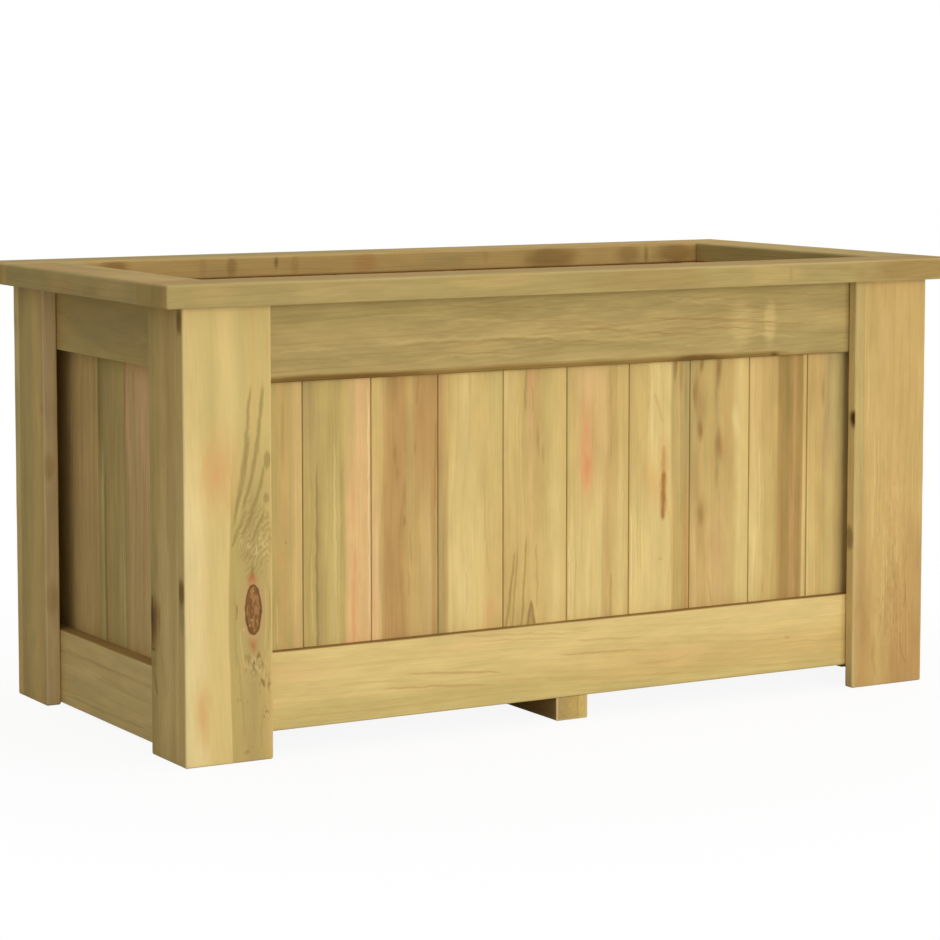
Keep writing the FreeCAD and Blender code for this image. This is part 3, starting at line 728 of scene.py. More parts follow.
# leg boards: each leg is a face board with a side board butted behind it
legs = {
    "arris": 2.5, "slot": "leg_timber", "seed": 31, "axes": {"face": "xzy", "side": "yzx"},
    "looks": {
        "leg_front_left_face": {
            "bands": [
                (-472.5, "cream"), (-455, "cream"), (-440, "straw"), (-425, "straw"), (-420, "straw"),
                (-418.5, "khaki"), (-408, "khaki"), (-395, "oliveTan"), (-384, "khaki"),
                (-372.5, "yellowTan")],
            "farBands": [
                (-472.5, "straw"), (-455, "straw"), (-440, "sedge"), (-430, "straw"), (-418, "straw"),
                (-405, "sedge"), (-395, "yellowTan"), (-384, "sedge"), (-372.5, "yellowTan")],
            "turnover": (240, 360), "pith": (-300, -150), "lean": (-0.11, 0.0), "spacing": 7.0,
            "ringDepth": 0.1, "wander": 3.0, "fibre": 0.05, "mottle": 0.06, "hair": 0.06,
            "edgeTones": [(-1, "yellowTan", 0.9)],
            "edgeSpots": [
                (-1, -220, 181, 13, 21, "darkEdge", 1.0), (-1, -221, 156, 11, 24, "moss", 0.45),
                (-1, -219, 458, 11, 18, "darkEdge", 0.9)],
            "spots": [
                (-433, 304, 34, 66, "amber", 0.6), (-452, 55, 14, 48, "amber", 0.6),
                (-440, 300, 16, 34, "salmon", 0.15), (-378, 430, 3, 22, "amber", 0.4),
                (-379.5, 313, 5.5, 12, "moss", 0.65, 0, 0.35), (-380, 273, 5, 7, "moss", 0.6, 0, 0.35),
                (-395, 190, 3.6, 10, "rust", 0.85), (-395, 199, 1.7, 8, "umber", 0.8),
                (-394.5, 123, 4.6, 12, "rust", 0.55), (-394, 118, 2.6, 9, "rust", 0.4),
                (-409, 157, 2.0, 9, "umber", 0.75), (-376, 225, 4, 30, "moss", 0.35),
                (-405, 215, 10, 10, "moss", 0.3)],
            "strokes": [
                (-417, 238, -403.4, -396.5, 396, 2.6, "moss", 0.78, 4.0),
                (-408, 254, -387, -384, 396, 2.7, "moss", 0.82, 4.0),
                (-408, 230, -387, -383, 312, 2.5, "moss", 0.8, 5.0),
                (-418, 222, -409, -402, 264, 2.2, "moss", 0.7, 5.0),
                (-413, 256, -404, -399, 342, 2.0, "moss", 0.62, 5.0),
                (-398, 220, -389, -382, 262, 1.8, "moss", 0.7, 7.0),
                (-381, 110, -377, -381, 190, 1.0, "moss", 0.5),
                (-385, 112, -382, -386, 186, 0.8, "straw", 0.6),
                (-404, 20, -408, -410, 120, 1.3, "olive", 0.6),
                (-386, 10, -388, -384, 60, 1.3, "olive", 0.6),
                (-412, 90, -411, -413, 190, 1.2, "olive", 0.6),
                (-402, 96, -406, -405, 140, 1.0, "straw", 0.6)],
            "curls": [(-391, 232, 29, 50, -379, 1.7, 8.6, 6.5, "moss", 0.45)],
            "specks": [
                (-393, 103, 15, 16, 3.8, "umber", 0.95), (-383, 80, 10, 18, 3.8, "umber", 0.9),
                (-406, 66, 8, 8, 3.0, "darkEdge", 0.8), (-411, 158, 6, 15, 3.4, "umber", 0.75),
                (-381, 52, 7, 13, 2.8, "umber", 0.8), (-399, 138, 3, 4, 1.6, "pale", 0.9),
                (-392, 98, 16, 20, 2.8, "pale", 0.2), (-404, 14, 9, 8, 2.8, "umber", 0.6),
                (-393, 100, 7, 12, 3.0, "bark", 0.5), (-388, 222, 16, 16, 2.2, "pale", 0.3)],
            "knots": [(-395, 158, 9.2, 26.4, "knotRim", "knotHeart", "pinkTan")]},
        "leg_front_right_face": {
            "bands": [
                (372.5, "tan"), (383, "brown"), (388, "brown"), (405, "tan"), (430, "brown"),
                (455, "brown"), (472.5, "brown")],
            "farBands": [
                (372.5, "khaki"), (384, "oliveTan"), (388, "tan"), (405, "tan"), (425, "tan"), (450, "tan"),
                (472.5, "tan")],
            "turnover": (60, 260), "pith": (380, -150), "spacing": 6.5, "ringDepth": 0.25, "wander": 2.0,
            "fibre": 0.06, "hair": 0.06, "edgeTones": [(-1, "cream", 0.75)],
            "edgeSpots": [(-1, -226.5, 314, 15, 13.5, "bark", 1.0), (-1, -219, 175, 10, 20, "bark", 0.55)],
            "spots": [
                (448, 100, 2.0, 9, "umber", 0.4), (402, 40, 5, 34, "umber", 0.3),
                (404, 20, 2.5, 14, "umber", 0.4), (430, 230, 16, 60, "pinkTan", 0.3),
                (415, 400, 16, 60, "peach", 0.25), (455, 150, 10, 60, "brown", 0.35)],
            "strokes": [
                (441, 62, 436, 452, 20, 1.6, "umber", 0.5), (447, 130, 449, 446, 86, 1.0, "umber", 0.5),
                (399, 160, 401, 400, 300, 0.9, "straw", 0.7), (404, 160, 405, 404, 310, 0.9, "brown", 0.5),
                (408, 150, 408, 409, 300, 0.9, "brown", 0.45), (390, 300, 392, 391, 400, 1.0, "straw", 0.6),
                (438, 280, 437, 439, 420, 1.0, "brown", 0.5), (424, 120, 425, 423, 260, 1.0, "brown", 0.4),
                (460, 200, 459, 461, 380, 1.0, "brown", 0.4), (415, 60, 417, 414, 170, 1.0, "straw", 0.5)],
            "lines": {"along": (30, 400), "across": (378, 469), "count": 22, "length": (60, 170),
                      "fall": 0.012, "width": (0.5, 0.9), "tone": "straw", "strength": (0.22, 0.45),
                      "shake": 4.0},
            "specks": [
                (425, 180, 40, 110, 2.6, "straw", 0.3, 0.15), (430, 90, 40, 70, 2.4, "umber", 0.25, 0.2)]},
        "leg_front_left_side": {
            "bands": [
                (-212.5, "straw"), (-200, "yellowTan"), (-185, "straw"), (-165, "yellowTan"),
                (-155, "khaki"), (-143, "khaki")],
            "farBands": [
                (-212.5, "yellowTan"), (-195, "tan"), (-175, "yellowTan"), (-160, "khaki"), (-143, "khaki")],
            "turnover": (180, 340), "pith": (-180, -520), "spacing": 6.0, "ringDepth": 0.3,
            "spots": [
                (-146, 140, 26, 38, "umber", 0.95, 0, 0.5), (-146, 146, 18, 28, "bark", 0.75),
                (-147, 112, 14, 2.6, "bark", 0.7), (-150, 98, 14, 18, "umber", 0.55),
                (-149, 186, 12, 24, "olive", 0.6), (-158, 210, 10, 40, "olive", 0.5),
                (-147, 175, 7, 22, "olive", 0.65), (-190, 120, 8, 60, "straw", 0.4)],
            "strokes": [
                (-146, 108, -149, -147, 172, 1.5, "bark", 1.0, 7.0),
                (-144.5, 96, -146, -145, 118, 1.3, "bark", 1.0, 5.0),
                (-151, 92, -155, -161, 64, 3.0, "umber", 0.6),
                (-166, 20, -168, -164, 180, 1.4, "brown", 0.45),
                (-190, 200, -188, -192, 420, 1.6, "brown", 0.45),
                (-203, 30, -202, -204, 400, 1.4, "khaki", 0.5)]},
        "leg_back_left_side": {
            "bands": [(143, "tan"), (165, "yellowTan"), (190, "khaki"), (212.5, "oliveTan")],
            "farBands": [(143, "tan"), (160, "yellowTan"), (180, "khaki"), (212.5, "oliveTan")],
            "turnover": (100, 300), "pith": (180, -520), "spacing": 6.5, "ringDepth": 0.3,
            # the edge facing -y is lightened to pale and peach: painted light on an edge that the front-left
            # leg shades
            "edgeTones": [(-1, "pale", 1.0), (-1, "peach", 0.4)], "edgeSpots": [
                (-1, -466, 270, 10, 22, "tan", 0.5), (-1, -465, 120, 12, 26, "tan", 0.4)],
            "spots": [
                (146, 335, 4, 12, "rust", 0.4), (205, 190, 8, 30, "olive", 0.5),
                (180, 70, 14, 20, "grey", 0.4)],
            "strokes": [
                (206, 20, 202, 207, 230, 1.6, "olive", 0.5), (160, 60, 163, 158, 330, 1.3, "tan", 0.5)]},
    },
}
legBoards = {f"leg_{end}_{hand}_{kind}": axes for end in ("front", "back") for hand in ("left", "right")
             for kind, axes in legs["axes"].items()}
addBoards(legs, legBoards)
print("leg boards:", len(legBoards))

# rails: a top and a bottom one on each side, set behind the leg boards
rails = {
    "arris": 1.5, "slot": "rail_timber", "seed": 53,
    "axes": {"front": "zxy", "back": "zxy", "left": "zyx", "right": "zyx"},
    "looks": {
        "rail_front_top": {
            # its lower edge darkens to darkEdge and bark in the bands and in the spots at 391: partly a dark
            # streak in the wood, partly painted shade on the arris that faces down
            "bands": [
                (389, "darkEdge"), (392.5, "darkEdge"), (397, "oliveTan"), (410, "olive"),
                (430, "oliveTan"), (450, "olive"), (472, "olive")],
            "farBands": [
                (389, "umber"), (394, "olive"), (410, "olive"), (430, "oliveTan"), (450, "olive"),
                (472, "olive")],
            "turnover": (255, 300), "wander": 1.5, "pith": (430, -330), "lean": (0.02, 0.03), "spacing": 3.4,
            "ringDepth": 0.45, "hair": 0.25, "arrisHighlightAndWear": 0.0, "mottle": 0.2, "drift": 10.0,
            "spots": [
                (391, -280, 6, 110, "bark", 0.45, 0, 0.4), (391, 165, 7, 48, "bark", 0.6, 0, 0.3),
                (391, 268, 5, 9, "bark", 0.9), (428, 262, 32, 12, "straw", 0.42, 0, 0.4),
                (430, 305, 40, 46, "olive", 0.5), (456, 255, 18, 26, "olive", 0.4),
                (428, 222, 34, 22, "straw", 0.28, 0, 0.3), (440, -300, 18, 70, "khaki", 0.35),
                (415, -120, 10, 60, "tan", 0.4), (450, 60, 14, 60, "olive", 0.35),
                (466, 20, 6, 220, "olive", 0.3)],
            "strokes": [
                (423, -250, 432, 421, -10, 2.4, "straw", 0.3, 9.0),
                (419, -240, 428, 418, 0, 1.6, "umber", 0.35, 9.0),
                (447, -160, 442, 437, 20, 1.7, "straw", 0.2, 9.0),
                (431, 0, 428, 416, 150, 1.6, "umber", 0.35, 9.0),
                (421, 0, 418, 415, 120, 1.8, "straw", 0.2, 9.0),
                (458, 120, 453, 450, 250, 2.0, "straw", 0.25, 9.0),
                (412, 210, 418, 408, 300, 1.6, "straw", 0.25, 9.0),
                (426, 230, 420, 424, 330, 1.6, "umber", 0.3, 9.0),
                (418, -360, 424, 421, -280, 1.7, "straw", 0.25, 9.0),
                (404, -200, 412, 402, -60, 1.7, "straw", 0.2, 9.0),
                (440, -340, 436, 444, -200, 1.5, "olive", 0.4, 9.0),
                (410, -330, 414, 408, -150, 1.3, "umber", 0.3, 9.0),
                (408, 40, 404, 410, 200, 1.4, "umber", 0.3, 9.0)],
            "lines": {"along": (-150, 270), "across": (412, 468), "count": 26, "length": (70, 190),
                      "fall": 0.05, "width": (0.6, 1.0), "tone": "umber", "strength": (0.35, 0.65),
                      "shake": 5.0},
            "specks": [(440, -20, 50, 330, 2.4, "straw", 0.12, 0.08)]},
        "rail_front_bottom": {
            # the top edge darkens to umber: painted shade where the slats meet the rail
            "bands": [
                (25.5, "khaki"), (28, "sedge"), (45, "sedge"), (55, "straw"), (75, "straw"), (95, "straw"),
                (107.2, "straw"), (108.5, "umber")],
            "farBands": [
                (25.5, "khaki"), (30, "sedge"), (45, "yellowTan"), (60, "yellowTan"), (85, "straw"),
                (107.2, "straw"), (108.5, "umber")],
            "turnover": (-200, 150), "wander": 1.5, "arrisHighlightAndWear": 0.05, "pith": (80, -330),
            "lean": (-0.02, 0.02), "spacing": 5.2, "ringDepth": 0.25,
            "spots": [
                (65, 290, 2.5, 6, "umber", 0.4), (85, -330, 16, 60, "peach", 0.5),
                (60, 140, 12, 70, "peach", 0.4), (95, -120, 10, 90, "peach", 0.4)],
            "strokes": [
                (70.5, -212, 67, 61, -84, 1.5, "brown", 0.75),
                (57.5, -242, 55, 48.5, -98, 1.5, "brown", 0.7),
                (73.5, -20, 72, 68, 102, 1.4, "brown", 0.65), (106, -150, 101, 95, 10, 1.3, "brown", 0.5),
                (99, -130, 95, 91, 0, 1.2, "brown", 0.4), (88, 0, 86, 83, 90, 1.2, "brown", 0.4),
                (47, -40, 43, 40, 80, 1.1, "khaki", 0.6), (38, -80, 36, 33, 120, 1.1, "khaki", 0.6),
                (42, 60, 40, 36, 200, 1.0, "brown", 0.35), (34, 220, 37, 33, 350, 1.1, "brown", 0.4),
                (60, 280, 58, 57, 372, 1.1, "brown", 0.4), (56, 80, 50, 58, 160, 1.2, "brown", 0.35),
                (85, -370, 87, 83, -200, 1.2, "sedge", 0.6), (68, -300, 66, 62, -180, 1.0, "brown", 0.3),
                (36, -370, 40, 34, -220, 1.2, "khaki", 0.6), (99, 160, 101, 98, 300, 1.2, "peach", 0.5)]},
        "rail_left_top": {
            "bands": [(401, "khaki"), (420, "oliveTan"), (445, "oliveTan"), (472, "khaki")],
            "farBands": [(401, "khaki"), (420, "tan"), (472, "khaki")], "turnover": (80, 150), "spacing": 5.0,
            "ringDepth": 0.15, "arrisHighlightAndWear": 0.05},
        "rail_left_bottom": {
            # the top edge darkens to drab: painted shade where the slats meet the rail
            "bands": [
                (2.5, "straw"), (12, "straw"), (30, "straw"), (50, "straw"), (59, "straw"), (62, "buff"),
                (66, "straw"), (84.3, "straw"), (85.1, "drab")],
            "wander": 0.8, "spacing": 6.0, "ringDepth": 0.3, "arrisHighlightAndWear": 0.05,
            "strokes": [
                (66, 140, 62, 64, -60, 1.4, "brown", 0.5), (48, 60, 46, 44, -80, 1.6, "khaki", 0.5),
                (14, 140, 12, 15, -100, 2.0, "olive", 0.5)]},
    },
}
railBoards = {f"rail_{side}_{level}": axes
              for side, axes in rails["axes"].items() for level in ("top", "bottom")}
addBoards(rails, railBoards)
print("rails:", len(railBoards))

# slats: tongue-and-groove boards with softened outer edges, standing behind the rails
slats = {
    "tongue": 4.0, "clearance": 0.3, "grooveDepth": 4.5, "softEdge": 1.1, "gap": 0.22, "backArris": 0.5,
    "arcSteps": 4, "support": 0.6, "slot": "slat_timber", "seed": 71,
    "counts": {"front": 10, "back": 10, "left": 4, "right": 4},
    # the finish paints umber shade into the vee seams between the slats
    "quarters": {"front": 0, "right": 1, "back": 2, "left": 3}, "finish": {"arrisHighlightAndWear": 0.0, "seamPaintedShade": 0.4},
    "axes": {"front": "xzy", "back": "xzy", "left": "yzx", "right": "yzx"},
    "looks": {
        "slat_front_01": {
            "bands": [
                (-405, "khaki"), (-362, "khaki"), (-354, "khaki"), (-350, "tan"), (-342, "tan"),
                (-338, "khaki"), (-333, "buff"), (-324, "yellowTan")],
            "wander": 2.0,
            "spots": [
                (-350, 205, 3, 14, "salmon", 0.3), (-344, 220, 2, 2.5, "umber", 0.5),
                (-347, 330, 3, 60, "umber", 0.3)],
            "strokes": [
                (-354, 110, -353, -355, 160, 1.0, "straw", 0.6),
                (-333, 120, -331, -333, 300, 0.9, "straw", 0.6)]},
        "slat_front_02": {
            "bands": [
                (-324, "khaki"), (-319, "khaki"), (-309, "khaki"), (-307, "oliveTan"), (-300, "khaki"),
                (-286, "sedge"), (-283, "sedge"), (-280, "khaki"), (-276, "khaki"), (-271, "apricot"),
                (-243, "apricot")],
            "farBands": [
                (-324, "oliveTan"), (-312, "oliveTan"), (-305, "khaki"), (-290, "khaki"), (-280, "khaki"),
                (-273, "yellowTan"), (-264, "buff"), (-258, "apricot"), (-243, "apricot")],
            "turnover": (270, 340), "wander": 2.0, "spots": [(-265, 255, 4, 40, "salmon", 0.35)],
            "strokes": [
                (-308, 60, -307.5, -307, 308, 2.0, "moss", 0.95),
                (-302, 60, -304, -303, 280, 3.0, "olive", 0.4),
                (-264, 70, -265, -263, 215, 2.6, "salmon", 0.6),
                (-284, 120, -283, -285, 372, 0.9, "olive", 0.6),
                (-289.5, 200, -289, -288, 380, 0.9, "olive", 0.6),
                (-286, 150, -287, -286, 330, 1.0, "straw", 0.6),
                (-278, 200, -277, -279, 300, 1.6, "olive", 0.4),
                (-314, 120, -313, -314, 210, 1.0, "straw", 0.5),
                (-245.5, 108, -246, -245.5, 388, 0.9, "pale", 0.6)]},
        "slat_front_03": {
            "bands": [
                (-243, "peach"), (-236, "peach"), (-229, "tan"), (-226, "brown"), (-206, "brown"),
                (-196, "tan"), (-186, "tan"), (-172, "buff"), (-167, "brown"), (-162, "tan")],
            "farBands": [
                (-243, "yellowTan"), (-234, "yellowTan"), (-228, "tan"), (-222, "brown"), (-205, "brown"),
                (-196, "tan"), (-188, "brown"), (-175, "brown"), (-162, "brown")],
            "turnover": (200, 330), "wander": 2.5,
            "spots": [
                (-214, 375, 10, 34, "umber", 0.35), (-224, 372, 4, 26, "olive", 0.5),
                (-185, 150, 14, 50, "tan", 0.4), (-214, 305, 3.5, 16, "umber", 0.5),
                (-211, 284, 3, 10, "umber", 0.4), (-202, 262, 4, 22, "umber", 0.4),
                (-202, 233, 2.6, 9, "umber", 0.6), (-190, 310, 2.5, 14, "umber", 0.4),
                (-206, 170, 4, 20, "umber", 0.25)],
            "strokes": [
                (-189, 355, -188, -186, 389, 1.6, "umber", 0.45),
                (-193, 185, -195, -196, 225, 1.2, "umber", 0.3),
                (-198, 150, -196, -199, 180, 1.2, "umber", 0.3),
                (-164.5, 240, -165, -164.5, 345, 1.6, "umber", 0.6)]},
        "slat_front_04": {
            "bands": [
                (-162, "oliveTan"), (-156, "oliveTan"), (-151, "tan"), (-148, "straw"), (-110, "straw"),
                (-100, "yellowTan"), (-81, "yellowTan")],
            "farBands": [
                (-162, "brown"), (-153, "tan"), (-147, "yellowTan"), (-125, "straw"), (-110, "yellowTan"),
                (-81, "sedge")],
            "turnover": (180, 350), "wander": 2.0,
            "spots": [(-98, 126, 15, 26, "salmon", 0.25), (-130, 150, 14, 50, "cream", 0.5)],
            "strokes": [
                (-122.5, 362, -122, -123, 392, 1.1, "umber", 0.35),
                (-104, 200, -103, -105, 295, 1.4, "khaki", 0.7),
                (-99, 165, -101, -103, 215, 1.3, "khaki", 0.6),
                (-128, 125, -126, -128, 175, 1.3, "tan", 0.5),
                (-138, 330, -137, -139, 389, 1.0, "khaki", 0.5)]},
        "slat_front_05": {
            "bands": [
                (-81, "tan"), (-72, "yellowTan"), (-55, "yellowTan"), (-40, "yellowTan"),
                (-28, "yellowTan"), (-15, "straw"), (0, "yellowTan")],
            "farBands": [
                (-81, "straw"), (-60, "yellowTan"), (-52, "khaki"), (-45, "pinkTan"), (-33, "tan"),
                (-28, "khaki"), (-10, "yellowTan"), (0, "yellowTan")],
            "turnover": (200, 380), "ringDepth": 0.25,
            "spots": [
                (-45, 110, 7, 20, "moss", 0.55, 0, 0.35), (-18, 245, 12, 30, "straw", 0.6),
                (-58, 112, 26, 34, "olive", 0.4), (-36, 310, 4, 24, "umber", 0.4),
                (-30, 295, 3, 18, "umber", 0.35), (-45, 370, 9, 34, "amber", 0.25)],
            "strokes": [
                (-80, 88, -72, -65, 196, 2.0, "umber", 0.7), (-70, 94, -66, -62, 200, 1.6, "umber", 0.55),
                (-59, 88, -54, -51, 210, 1.8, "umber", 0.65), (-38, 120, -37, -39, 200, 1.5, "umber", 0.4),
                (-53.5, 92, -47.5, -45, 136, 1.7, "umber", 0.9, 2.0),
                (-37, 92, -42.5, -45, 136, 1.7, "umber", 0.9, 2.0),
                (-51, 340, -52, -50, 392, 1.5, "umber", 0.5), (-42, 340, -41, -43, 372, 1.0, "umber", 0.4),
                (-60, 300, -59, -60, 372, 1.0, "khaki", 0.6), (-28, 320, -29, -27, 390, 1.2, "khaki", 0.6),
                (-46, 190, -45, -47, 290, 2.4, "peach", 0.45)]},
        "slat_front_06": {
            "bands": [
                (0, "yellowTan"), (6, "straw"), (30, "straw"), (44, "straw"), (52, "tan"),
                (60, "yellowTan"), (70, "straw"), (81, "yellowTan")],
            "farBands": [
                (0, "khaki"), (9, "yellowTan"), (16, "buff"), (40, "buff"), (50, "buff"), (55, "tan"),
                (64, "tan"), (68, "yellowTan"), (76, "yellowTan"), (81, "yellowTan")],
            "turnover": (180, 320), "wander": 2.5,
            "spots": [
                (25, 305, 17, 95, "salmon", 0.35), (24.5, 273, 11, 30, "salmon", 0.6, 0, 0.3),
                (24, 315, 7, 40, "salmon", 0.4), (26, 277, 6, 20, "rust", 0.22),
                (30, 370, 16, 40, "peach", 0.5)],
            "strokes": [
                (48, 110, 46, 49, 255, 1.7, "khaki", 0.7), (58, 90, 57, 59, 160, 2.2, "umber", 0.4),
                (52, 160, 53, 50, 300, 1.3, "tan", 0.6), (12, 104, 11, 13, 180, 1.2, "khaki", 0.6),
                (19, 170, 20, 19, 215, 1.0, "khaki", 0.5), (3, 108, 4, 3, 200, 1.1, "pale", 0.5),
                (57, 280, 58, 56, 389, 2.0, "umber", 0.25), (74, 150, 75, 73, 360, 1.2, "khaki", 0.6),
                (16, 289, 24, 33, 292, 1.0, "rust", 0.3)]},
        "slat_front_07": {
            "bands": [
                (81, "yellowTan"), (86, "straw"), (125, "straw"), (136, "straw"), (141, "tan"),
                (150, "khaki"), (157, "brown"), (162, "tan")],
            "farBands": [
                (81, "tan"), (90, "yellowTan"), (105, "yellowTan"), (112, "straw"), (135, "straw"),
                (139, "oliveTan"), (148, "tan"), (154, "oliveTan"), (162, "oliveTan")],
            "turnover": (190, 330), "wander": 2.0, "spacing": 4.0,
            "spots": [
                (128, 272, 10, 46, "amber", 0.55), (123, 167, 4, 1.8, "brown", 0.6),
                (142, 384, 4, 26, "umber", 0.75), (150, 370, 4, 40, "umber", 0.55),
                (157, 350, 4, 50, "moss", 0.45), (101, 270, 6, 26, "tan", 0.7),
                (112, 255, 16, 45, "amber", 0.4)],
            "strokes": [
                (126, 208, 127, 127, 268, 4.2, "ochre", 1.1, 1.0),
                (126.5, 212, 127, 126.5, 252, 2.0, "rust", 0.6, 1.0),
                (127, 258, 127.5, 128, 296, 3.0, "ochre", 0.5, 2.0),
                (115, 356, 120, 128, 318, 2.4, "tan", 0.8), (112, 372, 110, 112, 300, 2.2, "cream", 0.5),
                (88, 260, 89, 88, 330, 0.8, "khaki", 0.7), (92, 150, 93, 92, 330, 0.8, "khaki", 0.7),
                (96, 150, 96.5, 96, 220, 0.8, "khaki", 0.6), (84, 120, 85, 84, 230, 0.8, "pale", 0.6),
                (107, 330, 109, 106, 389, 1.2, "khaki", 0.6), (151, 200, 152, 150, 360, 1.4, "olive", 0.5),
                (143, 366, 141, 145, 392, 1.8, "moss", 0.6), (146, 300, 147, 145, 340, 1.0, "olive", 0.5)]},
        "slat_front_08": {
            "bands": [
                (162, "tan"), (170, "buff"), (180, "tan"), (190, "buff"), (212, "buff"), (222, "yellowTan"),
                (227, "straw"), (238, "straw"), (243, "yellowTan")],
            "farBands": [
                (162, "oliveTan"), (170, "oliveTan"), (178, "tan"), (186, "khaki"), (195, "tan"),
                (200, "oliveTan"), (206, "tan"), (220, "tan"), (230, "straw"), (243, "yellowTan")],
            "turnover": (160, 300), "wander": 2.0,
            "spots": [
                (225, 318, 8, 28, "cream", 0.5), (200, 170, 20, 60, "pinkTan", 0.35),
                (176, 340, 14, 50, "umber", 0.5), (177, 309, 6, 19, "umber", 0.9),
                (169, 352, 5, 26, "umber", 0.7), (178, 384, 5, 17, "umber", 0.9),
                (201, 378, 6, 26, "umber", 1.0), (198, 350, 4, 36, "moss", 0.4),
                (202, 291, 8.5, 25, "umber", 0.9), (210, 286, 14, 32, "brown", 0.4),
                (199, 262, 4, 30, "umber", 0.4), (178, 217, 14, 26, "brown", 0.8),
                (177, 213, 7, 21, "umber", 0.75), (176, 184, 8, 34, "brown", 0.6),
                (169, 252, 9, 36, "brown", 0.65)],
            "strokes": [
                (162.8, 290, 163.5, 163, 372, 1.4, "olive", 0.6),
                (188, 240, 186, 189, 340, 1.2, "tan", 0.6), (203, 150, 204, 202, 250, 1.2, "brown", 0.4),
                (187, 150, 189, 194, 108, 1.8, "brown", 0.5)]},
        "slat_front_09": {
            "bands": [
                (243, "straw"), (255, "straw"), (265, "yellowTan"), (281, "khaki"), (284, "brown"),
                (289, "drab"), (298, "drab"), (302, "brown"), (308, "brown"), (313, "drab"), (317, "brown"),
                (319.5, "straw"), (324, "tan")],
            "farBands": [
                (243, "yellowTan"), (255, "buff"), (265, "tan"), (281, "tan"), (285, "drab"), (291, "drab"),
                (297, "moss"), (302, "drab"), (307, "brown"), (312, "drab"), (317, "drab"),
                (320, "yellowTan"), (324, "brown")],
            "turnover": (180, 340), "wander": 1.5,
            "spots": [
                (265, 128, 4, 18, "amber", 0.6), (264, 122, 2, 10, "umber", 0.3),
                (298, 270, 12, 50, "brown", 0.3), (250, 280, 6, 60, "straw", 0.4)],
            "strokes": [
                (266, 140, 267, 265, 260, 1.6, "khaki", 0.6), (290, 110, 291, 290, 389, 1.0, "umber", 0.35),
                (303, 200, 302, 304, 389, 1.0, "umber", 0.4), (309, 108, 308, 310, 389, 1.1, "umber", 0.35),
                (272, 270, 271, 274, 300, 1.0, "brown", 0.4), (258, 180, 259, 257, 290, 1.2, "cream", 0.5)]},
        "slat_front_10": {
            # lighter towards the right leg: the slat's own tones, lifted by painted light that offsets the
            # shade beside the leg
            "bands": [
                (324, "straw"), (338, "yellowTan"), (345, "tan"), (354, "sedge"), (366, "yellowTan"),
                (405, "straw")],
            "farBands": [
                (324, "tan"), (338, "tan"), (345, "tan"), (354, "grey"), (366, "sedge"), (405, "straw")],
            "turnover": (180, 340),
            "spots": [
                (346, 346, 4, 24, "umber", 0.5), (368, 140, 6, 40, "sedge", 0.5),
                (355, 280, 10, 50, "pinkTan", 0.35)],
            "strokes": [
                (346, 150, 345, 347, 240, 1.2, "tan", 0.5), (337, 108, 336, 338, 150, 1.4, "peach", 0.5)]},
        "slat_left_01": {
            "bands": [
                (73.5, "buff"), (82, "tan"), (92, "buff"), (104, "buff"), (118, "buff"), (130, "buff"),
                (147, "yellowTan")],
            "strokes": [
                (118, 270, 121, 119, 390, 4.0, "brown", 0.6), (84, 330, 82, 83, 392, 3.5, "brown", 0.6),
                (96, 110, 94, 97, 300, 2.0, "khaki", 0.4)],
            "lines": {"along": (70, 260), "across": (78, 144), "count": 14, "length": (110, 260), "fall": 0.0,
                      "width": (0.8, 1.8), "tone": "brown", "strength": (0.35, 0.75), "shake": 3.0}},
        "slat_left_02": {
            "bands": [
                (0, "sedge"), (20, "khaki"), (40, "khaki"), (50, "khaki"), (56, "olive"), (59, "sedge"),
                (66, "khaki"), (73.5, "khaki")],
            "farBands": [
                (0, "khaki"), (20, "khaki"), (50, "oliveTan"), (62, "olive"), (70, "moss"), (73.5, "olive")],
            "turnover": (240, 330), "wander": 2.0,
            "strokes": [
                (52, 60, 53, 54, 294, 3.2, "moss", 0.85), (42, 90, 44, 46, 280, 4.0, "olive", 0.4),
                (62, 200, 61, 62, 300, 1.6, "straw", 0.5), (68, 120, 69, 67, 300, 1.6, "moss", 0.5),
                (40, 85, 46, 43, 140, 5.0, "pinkTan", 0.5)],
            "lines": {"along": (70, 260), "across": (4, 70), "count": 12, "length": (110, 240), "fall": 0.0,
                      "width": (0.8, 1.6), "tone": "olive", "strength": (0.35, 0.7), "shake": 3.0}},
        "slat_left_03": {
            "bands": [
                (-73.5, "straw"), (-50, "buff"), (-30, "buff"), (-14, "buff"), (-2, "khaki"), (0, "khaki")],
            "farBands": [(-73.5, "peach"), (-45, "peach"), (-25, "buff"), (-10, "peach"), (0, "pinkTan")],
            "turnover": (180, 340),
            "strokes": [
                (-3, 100, -2, -3, 320, 2.4, "oliveTan", 0.7), (-22, 90, -20, -24, 200, 2.0, "brown", 0.4),
                (-11, 270, -12, -10, 320, 2.2, "straw", 0.5), (-25, 350, -27, -22, 392, 4.0, "brown", 0.5)],
            "lines": {"along": (70, 260), "across": (-70, -4), "count": 14, "length": (110, 260), "fall": 0.0,
                      "width": (0.8, 1.8), "tone": "brown", "strength": (0.35, 0.7), "shake": 3.0}},
    },
}


